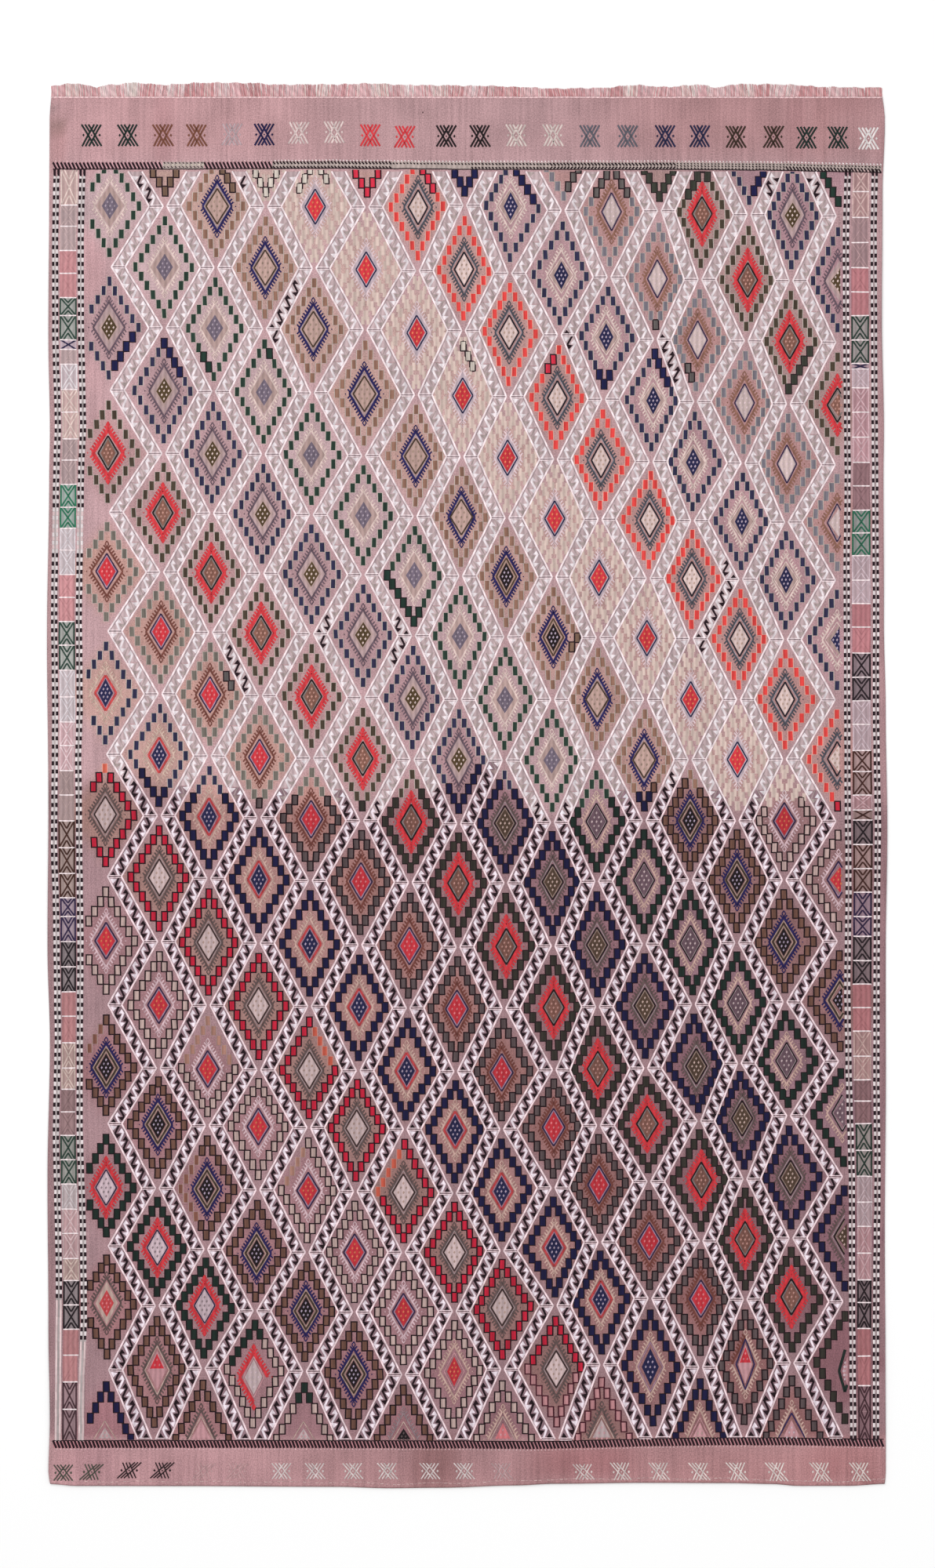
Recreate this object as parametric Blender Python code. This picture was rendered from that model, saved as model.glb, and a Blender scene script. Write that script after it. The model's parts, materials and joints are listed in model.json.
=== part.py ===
"""A flat-woven kilim rug, laid flat: one woven sheet with a turned hem, and a warp fringe.

The rug lies on its back on the XY plane with its length along Y and the fringe at +Y. The
origin is the middle of its underside. All sizes are in metres.
"""

import math
import random

import bmesh
import bpy

# The whole rug, fringe included, measured where it is widest and longest.
RUG_WIDTH = 1.756
RUG_LENGTH = 2.942

# The woven sheet. Wool tapestry weave with brocading yarn on its face.
CLOTH_THICKNESS = 0.003
WEAVE_END = 2.910  # where the weaving stops and the warps go on as fringe

# The plain end without a fringe is turned under once and stitched.
HEM_DEPTH = 0.0065
HEM_THICKNESS = 0.0046
HEM_SLOPE = 0.0020

# The warps that stand past the weave are held by one row of twined thread.
TWINED_ROW_WIDTH = 0.0030
FRINGE_THICKNESS = 0.0018
TUFT_COUNT = 124
TUFT_ROOT_SHARE = 0.86  # of the room that each tuft has
TUFT_TIP_SHARE = 0.56
TUFT_LENGTH_SPREAD = 0.0022
TUFT_LEAN = 0.0030
TUFT_SEED = 7

FITTING_GAP = 0.0003  # between the weave's end and the twined row

GRID_COLUMNS = 16
GRID_ROWS = 34
PLAIN_START = 0.030  # from here up the rows run straight across

# How far each long side draws in from the rug's widest point, going up from the hem.
LEFT_SIDE = (  # (up the rug, drawn in)
    (0.000, 0.0080), (0.030, 0.0030), (0.140, 0.0060), (0.340, 0.0030), (0.640, 0.0010),
    (0.930, 0.0060), (1.130, 0.0010), (1.420, 0.0030), (1.770, 0.0000), (2.110, 0.0045),
    (2.210, 0.0060), (2.410, 0.0030), (2.700, 0.0045), (2.860, 0.0055), (2.942, 0.0110),
)
RIGHT_SIDE = (  # (up the rug, drawn in)
    (0.000, 0.0060), (0.030, 0.0030), (0.300, 0.0040), (0.540, 0.0050), (0.900, 0.0030),
    (1.130, 0.0030), (1.375, 0.0000), (1.620, 0.0030), (1.820, 0.0070), (2.110, 0.0080),
    (2.210, 0.0070), (2.450, 0.0115), (2.700, 0.0100), (2.860, 0.0050), (2.942, 0.0130),
)

# The hem's edge isn't straight: how high it stands above its lowest point.
HEM_EDGE = (  # (along the width from the left side, up from the lowest point)
    (0.000, 0.0090), (0.055, 0.0050), (0.280, 0.0045), (0.600, 0.0030), (0.710, 0.0000),
    (0.820, 0.0010), (0.980, 0.0060), (1.060, 0.0095), (1.250, 0.0115), (1.430, 0.0110),
    (1.520, 0.0090), (1.575, 0.0050), (1.680, 0.0050), (1.756, 0.0090),
)

# The tufts' tips wander too: how far they stop short of the longest one.
TUFT_TIPS = (  # (along the width from the left side, short of the longest)
    (0.000, 0.0080), (0.055, 0.0030), (0.095, 0.0110), (0.130, 0.0060), (0.175, 0.0020),
    (0.230, 0.0060), (0.325, 0.0020), (0.420, 0.0020), (0.480, 0.0060), (0.600, 0.0050),
    (0.680, 0.0035), (0.760, 0.0070), (0.900, 0.0080), (0.990, 0.0110), (1.060, 0.0140),
    (1.160, 0.0130), (1.230, 0.0070), (1.300, 0.0110), (1.370, 0.0060), (1.410, 0.0120),
    (1.450, 0.0050), (1.540, 0.0055), (1.640, 0.0110), (1.700, 0.0120), (1.756, 0.0120),
)


def between(table, at):
    """The table's second column at a place in its first, eased from row to row."""
    for (start, low), (end, high) in zip(table, table[1:]):
        if at <= end:
            part = max(0.0, (at - start) / (end - start))
            return low + (high - low) * (1 - math.cos(math.pi * part)) / 2
    return table[-1][1]


def side_to_side(across, up):
    """X of a point, from its share of the width and its height above the hem."""
    left = -RUG_WIDTH / 2 + between(LEFT_SIDE, up)
    right = RUG_WIDTH / 2 - between(RIGHT_SIDE, up)
    return left + (right - left) * across


def end_to_end(up):
    """Y of a point from its height above the hem's lowest point."""
    return up - RUG_LENGTH / 2


def wool(name, colour):
    material = bpy.data.materials.new(name)
    material.use_nodes = True
    shader = material.node_tree.nodes["Principled BSDF"]
    shader.inputs["Base Color"].default_value = (*colour, 1.0)
    shader.inputs["Roughness"].default_value = 0.9
    shader.inputs["Metallic"].default_value = 0.0
    return material


def add_object(name, shape, material):
    mesh = bpy.data.meshes.new(name)
    bmesh.ops.recalc_face_normals(shape, faces=shape.faces)
    shape.to_mesh(mesh)
    shape.free()
    mesh.materials.append(material)
    obj = bpy.data.objects.new(name, mesh)
    bpy.context.scene.collection.objects.link(obj)
    return obj


def row_height(row, across):
    """How far up the rug a row of the sheet's grid lies. The first rows follow the hem."""
    hem = between(HEM_EDGE, across * RUG_WIDTH)
    hem_rows = (hem, hem + HEM_DEPTH, hem + HEM_DEPTH + HEM_SLOPE)
    if row < len(hem_rows):
        return hem_rows[row]
    share = (row - len(hem_rows)) / (GRID_ROWS - len(hem_rows))
    return PLAIN_START + (WEAVE_END - PLAIN_START) * share


def make_cloth():
    """The woven sheet: its outline filled with a plain grid, and raised to its thickness."""
    shape = bmesh.new()
    rows = []
    for row in range(GRID_ROWS + 1):
        points = []
        for column in range(GRID_COLUMNS + 1):
            across = column / GRID_COLUMNS
            up = row_height(row, across)
            points.append(shape.verts.new((side_to_side(across, up), end_to_end(up), 0.0)))
        rows.append(points)
    for low, high in zip(rows, rows[1:]):
        for k in range(GRID_COLUMNS):
            shape.faces.new((low[k], low[k + 1], high[k + 1], high[k]))
    face_of_rug = bmesh.ops.extrude_face_region(shape, geom=shape.faces[:])["geom"]
    hem_top = {1: HEM_THICKNESS, 0: HEM_THICKNESS}
    height_at = {}
    for row, points in enumerate(rows):
        for point in points:
            height_at[point.co.to_tuple(6)] = hem_top.get(row, CLOTH_THICKNESS)
    for part in face_of_rug:
        if isinstance(part, bmesh.types.BMVert):
            part.co.z = height_at[part.co.to_tuple(6)]
    return add_object("kilim_cloth", shape, wool("dusty_pink_wool", (0.48, 0.25, 0.27)))


def make_fringe():
    """The fringe: a comb whose back is the twined row and whose teeth are tufts of warp."""
    chance = random.Random(TUFT_SEED)
    back_low = WEAVE_END + FITTING_GAP
    back_high = back_low + TWINED_ROW_WIDTH
    room = 1.0 / TUFT_COUNT
    shape = bmesh.new()
    stations = []  # each place along the back: its lower and its upper point

    def add_station(across):
        stations.append([
            shape.verts.new((side_to_side(across, up), end_to_end(up), 0.0))
            for up in (back_low, back_high)
        ])

    for tuft in range(TUFT_COUNT):
        middle = (tuft + 0.5) * room
        add_station(middle - TUFT_ROOT_SHARE * room / 2)
        add_station(middle + TUFT_ROOT_SHARE * room / 2)
        short = between(TUFT_TIPS, middle * RUG_WIDTH)
        short = max(0.0, short + chance.uniform(-1, 1) * TUFT_LENGTH_SPREAD)
        tip_height = RUG_LENGTH - short
        lean = chance.uniform(-1, 1) * TUFT_LEAN
        tip_middle = side_to_side(middle, back_high) + lean
        if tuft in (0, TUFT_COUNT - 1):
            tip_middle = side_to_side(middle, tip_height)
        half_tip = TUFT_TIP_SHARE * room * RUG_WIDTH / 2
        left_tip = shape.verts.new((tip_middle - half_tip, end_to_end(tip_height), 0.0))
        right_tip = shape.verts.new((tip_middle + half_tip, end_to_end(tip_height), 0.0))
        shape.faces.new((stations[-2][1], stations[-1][1], right_tip, left_tip))
    for here, after in zip(stations, stations[1:]):
        shape.faces.new((here[0], after[0], after[1], here[1]))
    top = bmesh.ops.extrude_face_region(shape, geom=shape.faces[:])["geom"]
    lifted = [part for part in top if isinstance(part, bmesh.types.BMVert)]
    bmesh.ops.translate(shape, verts=lifted, vec=(0.0, 0.0, FRINGE_THICKNESS))
    return add_object("fringe_top", shape, wool("pale_pink_warp_wool", (0.62, 0.38, 0.38)))


for old in list(bpy.data.objects):
    bpy.data.objects.remove(old, do_unlink=True)

make_cloth()
make_fringe()
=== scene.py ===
"""A flat-woven wool kilim on a pale floor: rose ground, brocaded lattice of hooked diamonds."""

import json
import math
import random

import bpy
import numpy as np
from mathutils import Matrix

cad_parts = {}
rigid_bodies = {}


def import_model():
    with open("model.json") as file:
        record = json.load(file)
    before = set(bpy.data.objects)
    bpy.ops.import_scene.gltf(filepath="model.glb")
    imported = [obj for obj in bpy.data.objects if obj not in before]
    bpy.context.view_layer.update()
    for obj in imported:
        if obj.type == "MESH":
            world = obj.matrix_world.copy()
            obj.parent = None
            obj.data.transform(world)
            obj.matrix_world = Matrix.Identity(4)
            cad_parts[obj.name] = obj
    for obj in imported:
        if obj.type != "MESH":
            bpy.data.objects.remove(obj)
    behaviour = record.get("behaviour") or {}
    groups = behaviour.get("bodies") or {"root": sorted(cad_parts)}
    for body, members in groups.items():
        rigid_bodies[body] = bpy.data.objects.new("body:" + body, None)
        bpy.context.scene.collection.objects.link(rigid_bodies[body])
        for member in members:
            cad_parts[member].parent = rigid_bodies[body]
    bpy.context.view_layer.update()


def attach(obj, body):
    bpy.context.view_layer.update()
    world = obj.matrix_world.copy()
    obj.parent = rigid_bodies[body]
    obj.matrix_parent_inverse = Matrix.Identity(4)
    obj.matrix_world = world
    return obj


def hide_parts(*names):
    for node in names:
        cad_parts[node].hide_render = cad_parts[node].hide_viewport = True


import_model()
scene = bpy.context.scene

# ---------------------------------------------------------------- camera
# The rug is seen from straight above, head on. The chart of its pattern was read off the
# photograph, in pixels, and one pixel is this many millimetres of the real rug.
PIXEL = 1.64
IMAGE_SIZE = (1192, 2000)
RUG_MIDDLE = (595.5, 1001.0)
CAMERA_HEIGHT = 8.0
SENSOR = 36.0


def at(px, py):
    """The place on the rug, in millimetres from its middle, of a point in the photograph."""
    return np.array(((px - RUG_MIDDLE[0]) * PIXEL, (RUG_MIDDLE[1] - py) * PIXEL))


def seen(x, y):
    """The point in the photograph, in pixels, of a place on the rug."""
    return x / PIXEL + RUG_MIDDLE[0], RUG_MIDDLE[1] - y / PIXEL


lens = bpy.data.cameras.new("camera_over_rug")
lens.sensor_width = SENSOR
lens.lens = SENSOR * CAMERA_HEIGHT / (IMAGE_SIZE[1] * PIXEL / 1000)
lens.clip_end = 60.0
camera = bpy.data.objects.new("camera_over_rug", lens)
camera.location = (*at(IMAGE_SIZE[0] / 2, IMAGE_SIZE[1] / 2) / 1000, CAMERA_HEIGHT)
scene.collection.objects.link(camera)
scene.camera = camera

# ---------------------------------------------------------------- ground cloth
# The body of the rug: one piece of weft-faced plain weave in faded rose wool, its selvedges
# rounded over thick cords, its lower end rolled and sewn. It lies flat with slow, slight waves.
RUG_WIDTH = 1.756
RUG_LENGTH = 2.942
CLOTH_THICKNESS = 0.003
WEAVE_END = 2.910
HEM_THICKNESS = 0.0046
WAVE_LIFT = 0.0011
GROUND_COLUMNS = 104
GROUND_ROWS = 172
EDGE_STEPS = (0.0016, 0.0040, 0.0080)
HEM_STEPS = (0.0012, 0.0030, 0.0055, 0.0085)
EDGE_ROUND = (0.5, 0.86, 1.0)
HEM_ROUND = (0.5, 0.86, 1.0, 0.93)


def in_metres(*rows):
    """A table of (place, value) rows that is written in millimetres."""
    return [(place / 1000, value / 1000) for place, value in rows]


LEFT_SIDE = in_metres(  # up from the hem, and how far the side is drawn in
    (0, 8), (30, 3), (140, 6), (340, 3), (640, 1), (930, 6), (1130, 1), (1420, 3), (1770, 0),
    (2110, 4.5), (2210, 6), (2410, 3), (2700, 4.5), (2860, 5.5), (2942, 11),
)
RIGHT_SIDE = in_metres(
    (0, 6), (30, 3), (300, 4), (540, 5), (900, 3), (1130, 3), (1375, 0), (1620, 3), (1820, 7),
    (2110, 8), (2210, 7), (2450, 11.5), (2700, 10), (2860, 5), (2942, 13),
)
HEM_EDGE = in_metres(  # across from the left, and how far up the hem starts
    (0, 9), (55, 5), (280, 4.5), (600, 3), (710, 0), (820, 1), (980, 6), (1060, 9.5), (1250, 11.5),
    (1430, 11), (1520, 9), (1575, 5), (1680, 5), (1756, 9),
)


def between(table, where):
    """The value at a place along a table of (place, value) rows, eased from row to row."""
    for (start, low), (end, high) in zip(table, table[1:]):
        if where <= end:
            part = max(0.0, (where - start) / (end - start))
            return low + (high - low) * (1 - math.cos(math.pi * part)) / 2
    return table[-1][1]


def side_to_side(across, up):
    """X of a share of the width, at a height above the hem."""
    left = -RUG_WIDTH / 2 + between(LEFT_SIDE, up)
    right = RUG_WIDTH / 2 - between(RIGHT_SIDE, up)
    return left + (right - left) * across


def lift(x, y):
    """How far the cloth stands off the floor, in metres: slow waves, more towards its sides."""
    slow = np.sin(4.1 * x + 1.7 * np.sin(2.3 * y)) * np.sin(3.7 * y + 0.9)
    quick = np.sin(9.0 * x - 3.0 * y + 1.3) * np.sin(7.0 * y + 4.0 * x)
    edge = (np.abs(x) / (RUG_WIDTH / 2)) ** 6 * (1 + np.sin(11.0 * y + 3.0 * np.sign(x)))
    return WAVE_LIFT * (1 + 0.6 * slow + 0.4 * quick + 0.6 * edge)


def spaced(end, count, near_start):
    """Places from 0 to an end: close where an edge rounds over, and even between."""
    inner = np.linspace(near_start[-1], end - EDGE_STEPS[-1], count)
    return [0.0, *near_start[:-1], *inner, *(end - step for step in EDGE_STEPS[-2::-1]), end]


across_at = spaced(RUG_WIDTH, GROUND_COLUMNS, EDGE_STEPS)
up_at = spaced(WEAVE_END, GROUND_ROWS, HEM_STEPS)
columns, rows = len(across_at), len(up_at)
points, index_of, faces = [], {}, []
for j, up in enumerate(up_at):
    for i, across in enumerate(across_at):
        hem = between(HEM_EDGE, across)
        height = hem + up * (1 - hem / WEAVE_END)
        x, y = side_to_side(across / RUG_WIDTH, height), height - RUG_LENGTH / 2
        in_from_side, in_from_end = min(i, columns - 1 - i), rows - 1 - j
        rounds = [EDGE_ROUND[n] for n in (in_from_side, in_from_end) if n < len(EDGE_ROUND)]
        swell = min((*rounds, *HEM_ROUND[j : j + 1], 1.0))
        full = HEM_THICKNESS if j < len(HEM_STEPS) else CLOTH_THICKNESS
        raised = float(lift(x, y))
        index_of[i, j, 1] = index_of[i, j, -1] = len(points)
        points.append((x, y, full * swell + raised))
        if in_from_side and in_from_end and j:
            index_of[i, j, -1] = len(points)
            points.append((x, y, full * (1 - swell) + raised))
for side in (1, -1):
    for j in range(rows - 1):
        for i in range(columns - 1):
            corners = ((i, j), (i + 1, j), (i + 1, j + 1), (i, j + 1))[::side]
            faces.append([index_of[a, b, side] for a, b in corners])
cloth_mesh = bpy.data.meshes.new("kilim_ground")
cloth_mesh.from_pydata(points, [], faces)
cloth_mesh.polygons.foreach_set("use_smooth", [True] * len(faces))

# The lattice was laid out by eye on the loom, so its lines wander. Each line of crossings is
# charted at eight rows and each row at five places across, in pixels of the photograph.
CHARTED_ROWS = (0, 4, 9, 12, 14, 16, 19, 20)
CROSSING_LINES = (
    (140.5, 138, 134, 135.5, 135.5, 135.5, 136.5, 134),
    (210.5, 209, 203, 203.5, 202, 201, 200.5, 196),
    (277, 271, 267, 266, 265, 264, 259.5, 256.5),
    (339, 336, 331, 329.5, 330, 329, 323.5, 322),
    (402, 397, 397.5, 395, 394.5, 393, 388.5, 387),
    (468, 463.5, 462.5, 459, 456.5, 453, 451, 450.5),
    (533, 530, 525.5, 522, 518.5, 514.5, 514.5, 514.5),
    (592.5, 589, 585, 584, 581, 579.5, 579, 578),
    (651, 647, 643, 645.5, 639.5, 639.5, 640.5, 641),
    (718, 708, 703.5, 705, 706.5, 705, 709, 710),
    (779.5, 766, 760, 761, 762, 763.5, 767, 767),
    (840.5, 830, 821, 821, 823, 827, 829, 833.5),
    (895, 883.5, 879.5, 880, 887.5, 894, 893, 892),
    (955, 947, 940, 939, 942.5, 949.5, 950, 948),
    (1010, 1003, 1000, 999, 1002.5, 1007.5, 1009.5, 1009),
    (1068, 1067, 1067, 1069.5, 1071, 1076, 1077, 1076.5),
)
CHARTED_ACROSS = (140, 370, 600, 830, 1065)
ROW_LINES = (
    (263, 264, 265, 272, 276), (341, 342, 347, 356, 359), (418, 420, 422, 433, 437),
    (498, 501, 505, 511, 517), (578, 580, 583, 589, 593), (653.5, 656, 660, 663.5, 667),
    (729, 732, 735, 738, 740), (805, 808, 812, 814, 816.5), (884, 888, 892.5, 892, 892.5),
    (962, 966.5, 969.5, 969.5, 968), (1039, 1044, 1051, 1046.5, 1047.5),
    (1118, 1122.5, 1127, 1122.5, 1122), (1200, 1203.5, 1208, 1204, 1200.5),
    (1281.5, 1283, 1287, 1282.5, 1276), (1361.5, 1365, 1366.5, 1362, 1353.5),
    (1433, 1437.5, 1441.5, 1433, 1419.5), (1514.5, 1518, 1522, 1506.5, 1500.5),
    (1589, 1597, 1597, 1584.5, 1577), (1662, 1674, 1672, 1657.5, 1660),
    (1747, 1748.5, 1749, 1743, 1736.5), (1835, 1836, 1836, 1833.5, 1832.5),
)
RAISED = {  # pixels that a crossing or a diamond's middle stands above its row; below it where minus
    (7, 0): 3, (8, 0): 3, (11, 0): 3, (7, 1): 3, (6, 2): -3.5, (8, 14): -2, (13, 14): 2,
    (14, 14): 3, (3, 17): -3, (10, 17): 4, (11, 17): 2, (2, 18): 3.5, (4, 18): 2, (8, 18): 2,
    (10, 18): 4.5, (11, 18): 2, (12, 18): 2, (13, 18): 2, (14, 18): 5.5, (2, 19): 3, (5, 19): -4,
    (6, 19): -4, (8, 19): 2, (10, 19): 4.5, (12, 19): -2,
}
ROW_PITCH = 78
FIELD_LEFT = 109
FIELD_RIGHT = ((217, 1072.5), (1000, 1072.5), (1835, 1079))
FIELD_TOP = ((70, 217), (600, 217), (1120, 220))
FIELD_FOOT = ((70, 1836), (600, 1837), (680, 1838), (800, 1835.5), (900, 1833.5), (1120, 1835))
BLACK_BELOW = (  # pixel across, and down from where deeper dyes and black yarn were used
    (140, 985), (200, 985), (230, 1010), (315, 1015), (440, 1020), (483, 1030), (557, 1005),
    (620, 975), (690, 1038), (795, 1018), (858, 990), (930, 1030), (1040, 1020),
)


def chart(table, where):
    """The value at a place along a charted line of (place, value) rows."""
    return np.interp(where, *zip(*table))


def crossing(line, row):
    """Where a line of crossings meets a row of the lattice, in pixels of the photograph."""
    px = np.interp(row, CHARTED_ROWS, CROSSING_LINES[line])
    py = np.interp(px, CHARTED_ACROSS, ROW_LINES[max(row, 0)]) + min(row, 0) * ROW_PITCH
    return np.array((px, py - RAISED.get((line, row), 0)))


def corners_of(line, row):
    """The top, right, foot and left corner of a diamond, mirrored past an edge of the lattice."""
    corners = []
    for across, down in ((0, -1), (1, 0), (0, 1), (-1, 0)):
        if 0 <= line + across < len(CROSSING_LINES) and row + down < len(ROW_LINES):
            corners.append(at(*crossing(line + across, row + down)))
        else:
            corners.append(at(*(2 * crossing(line, row) - crossing(line - across, row - down))))
    return corners


def diamond(line, row):
    """The middle of a diamond and half its width and height, in millimetres."""
    top, right, foot, left = corners_of(line, row)
    return at(*crossing(line, row)), (right[0] - left[0]) / 2, (top[1] - foot[1]) / 2


DIAMONDS = [
    (line, row)
    for row in range(-1, len(ROW_LINES))
    for line in range(len(CROSSING_LINES))
    if (line + row) % 2 == 0
]


def linear(colour):
    """A colour written as an sRGB hex value, as the linear one that nodes take."""
    parts = [int(colour[i : i + 2], 16) / 255 for i in (1, 3, 5)]
    return [c / 12.92 if c <= 0.04045 else ((c + 0.055) / 1.055) ** 2.4 for c in parts] + [1.0]


# The rose wool has faded unevenly. Each diagonal of diamonds was tinted by its own pattern
# yarns, so its inside is charted as a tint, and broad changes and stains as soft spots.
ROSE = "#BE9A9E"
# painted shadow along the rolled hem's edge, mixed with the hem's darker weft, and the depth over which it
# fades out
HEM_SHADOW_AND_WEFT, HEM_SHADOW_DEPTH = "#74504F", 0.0035
DEEPER_GROUND = (0.74, 0.71, 0.73)  # red, green and blue of the lower part, as shares of the upper's
DEEPER_EDGE, FOOT_EDGE = 20, 6  # pixels over which it deepens, and over which that ends at the foot
LOWER_FROM_ROW = 10  # of the diamonds
TONE_REACH = 900  # millimetres across, from the tone at the left to the one at the right
INSIDE_EDGE, INSIDE_SOFTNESS = 0.92, 0.3  # shares of a diamond, where its own tint ends
INSIDE_TONES = np.array(  # and inside the diamonds, at the left and the right, above and below
    (((0.90, 0.89, 0.91), (0.80, 0.71, 0.75)), ((0.93, 0.85, 0.88), (0.65, 0.53, 0.60)))
)
DIAGONAL_TINTS = {
    14: "#BC9BA0", 12: "#B99C96", 10: "#C39C97", 8: "#C3A1A4", 6: "#C69E97", 4: "#C9A9A1",
    2: "#C6A298", 0: "#C6A9AB", -2: "#BA979A", -4: "#BD9595", -6: "#C4998F", -8: "#C69E96",
    -10: "#BC998E", -12: "#BC9597", -14: "#B98E90", -16: "#BA9396", -18: "#BC9090", -20: "#BB8D91",
}
SOFT_SPOTS = (  # pixel across, down, half width, half height, colour, strength
    (300, 150, 330, 60, "#B98F92", 0.9), (620, 150, 250, 60, "#B38F92", 0.9),
    (980, 150, 220, 60, "#AB8183", 0.95), (208, 165, 14, 55, "#A87C80", 0.55),
    (1015, 165, 12, 45, "#A5787B", 0.6), (1048, 165, 10, 45, "#A67A7B", 0.6),
    (72, 162, 10, 12, "#7E6660", 0.75), (72, 190, 9, 28, "#B07F80", 0.5),
    (70, 140, 8, 6, "#7C6B6C", 0.5), (150, 1870, 260, 45, "#BA8D91", 0.9),
    (600, 1870, 280, 45, "#AC7F81", 0.95), (1000, 1870, 240, 45, "#B37F80", 0.95),
    (64, 1000, 6, 900, "#A98688", 0.8), (1126, 1000, 7, 900, "#A98083", 0.8),
    (118, 340, 16, 180, "#C4999D", 0.7), (122, 1830, 25, 60, "#B2868C", 0.6),
    (700, 1400, 500, 460, "#B8939A", 0.35), (300, 1400, 300, 300, "#BC9C9E", 0.3),
    (1066, 1870, 5, 16, "#9C6468", 0.6), (1110, 1888, 10, 6, "#9A5F63", 0.5),
    (840, 640, 330, 420, "#A8888C", 0.45), (840, 1400, 330, 440, "#977A7D", 0.45),
    (555, 1868, 32, 36, "#946A6B", 0.9), (745, 1862, 70, 24, "#A06C6F", 0.8),
    (1080, 1862, 50, 30, "#A87375", 0.6), (1075, 128, 40, 22, "#A07678", 0.6),
    (600, 1740, 560, 100, "#8E7275", 0.22),
)

places = np.array(points)[:, :2] * 1000
px, py = seen(*places.T)
tint = np.tile(linear(ROSE), (len(points), 1))


def blend_tint(weight, colour, tone=(1, 1, 1)):
    """Mix a colour, deepened by a tone, into the cloth's tint, point by point."""
    tint[:] = tint + weight[:, None] * (np.array(linear(colour)) * [*tone, 1] - tint)


def mark(mesh, name, kind, values):
    """Store a value of each point of a mesh under a name."""
    field = "color" if kind == "FLOAT_COLOR" else "value"
    mesh.attributes.new(name, kind, "POINT").data.foreach_set(field, np.ravel(values))


for *spot, wide, tall, colour, strength in SOFT_SPOTS:
    far = ((places - at(*spot)) / (wide * PIXEL, tall * PIXEL)) ** 4
    blend_tint(strength * np.exp(-far.sum(1)), colour)
# Painted shadow where the rolled hem turns under at the foot, with its darker weft: darkest at the hem's
# edge, fading out upwards.
hem_under = np.array([between(HEM_EDGE, x / 1000 + RUG_WIDTH / 2) for x, y in places])
from_hem = places[:, 1] / 1000 + RUG_LENGTH / 2 - hem_under
blend_tint(0.85 * np.clip(1 - from_hem / HEM_SHADOW_DEPTH, 0, 1), HEM_SHADOW_AND_WEFT)
within = (py > FIELD_TOP[0][1]) & (py < FIELD_FOOT[0][1])
for line, row in DIAMONDS:
    middle, *half = diamond(line, row)
    far = (np.abs(places - middle) / half).sum(1)
    inside = np.clip((INSIDE_EDGE - far) / INSIDE_SOFTNESS, 0, 1)
    left_tone, right_tone = INSIDE_TONES[int(row >= LOWER_FROM_ROW)]
    tone = left_tone + (right_tone - left_tone) * np.clip(middle[0] / TONE_REACH + 0.5, 0, 1)
    blend_tint(inside * within, DIAGONAL_TINTS[min(line - row, 14)], tone)
deeper = np.clip((py - chart(BLACK_BELOW, px)) / DEEPER_EDGE, 0, 1)
deeper *= np.clip((FIELD_FOOT[0][1] - py) / FOOT_EDGE, 0, 1)
tint[:, :3] *= 1 - deeper[:, None] * (1 - np.array(DEEPER_GROUND))
mark(cloth_mesh, "tint", "FLOAT_COLOR", tint)


def put(tree, kind, inputs=(), **settings):
    """Add a node with its settings; an input given a node or a socket is linked to it."""
    made = tree.nodes.new(kind)
    for name, value in settings.items():
        setattr(made, name, value)
    for name, value in dict(inputs).items():
        if isinstance(value, bpy.types.Node):
            value = value.outputs[0]
        if isinstance(value, bpy.types.NodeSocket):
            tree.links.new(value, made.inputs[name])
        else:
            made.inputs[name].default_value = value
    return made


def new_material(name, roughness):
    """A material with a Principled shader for wool, which has no clear reflection of its own."""
    material = bpy.data.materials.new(name)
    material.use_nodes = True
    tree = material.node_tree
    shader = next(n for n in tree.nodes if n.type == "BSDF_PRINCIPLED")
    for socket, value in (("Roughness", roughness), ("IOR", 1.54), ("Specular IOR Level", 0.2)):
        shader.inputs[socket].default_value = value
    return material, tree, shader


def shade_wool(tree, shader, dye, grain, shades, relief, strength, depth):
    """Shade the stored dye by a grain, from dark to light, and raise the wool's relief."""
    stored = put(tree, "ShaderNodeAttribute", attribute_name=dye)
    limits = dict(zip(("From Min", "From Max", "To Min", "To Max"), shades))
    shade = put(tree, "ShaderNodeMapRange", {"Value": grain, **limits})
    shaded = put(tree, "ShaderNodeVectorMath", {0: stored, "Scale": shade}, operation="SCALE")
    bump = put(tree, "ShaderNodeBump", {"Height": relief, "Strength": strength, "Distance": depth})
    for node, socket in ((shaded, "Base Color"), (bump, "Normal")):
        tree.links.new(node.outputs[0], shader.inputs[socket])


def finished(name, mesh):
    """A mesh as a piece of the rug, in place and riding on its one body."""
    piece = bpy.data.objects.new(name, mesh)
    scene.collection.objects.link(piece)
    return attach(piece, "root")


# Faded plied wool, weft-faced: matt, with fine upright ribs where the warps lie under the weft
# and streaks where one warp took the dye better. Real ribs are 2 mm apart, and are drawn so.
RIB_SPACING = 0.0021
STREAK_WIDTH = 0.006
FLECK_STRENGTH = 2.0
cloth_wool, tree, shader = new_material("rose_wool_plain_weave", 0.92)
where = put(tree, "ShaderNodeTexCoord").outputs["Object"]
grains = []
for width, stretch, detail in ((RIB_SPACING, 0.7, 2.0), (STREAK_WIDTH, 0.035, 3.0)):
    drawn = put(
        tree, "ShaderNodeMapping", {"Vector": where, "Scale": (1 / width, stretch / width, 1.0)}
    )
    grains.append(put(tree, "ShaderNodeTexNoise", {"Vector": drawn, "Scale": 1.0, "Detail": detail}))
flecks, streaks = grains
clouds = put(tree, "ShaderNodeTexNoise", {"Vector": where, "Scale": 9.0, "Detail": 4.0})
grain = put(
    tree, "ShaderNodeMath", {0: flecks, 1: FLECK_STRENGTH, 2: streaks}, operation="MULTIPLY_ADD"
)
grain = put(tree, "ShaderNodeMath", {0: grain, 1: clouds}, operation="ADD")
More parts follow.
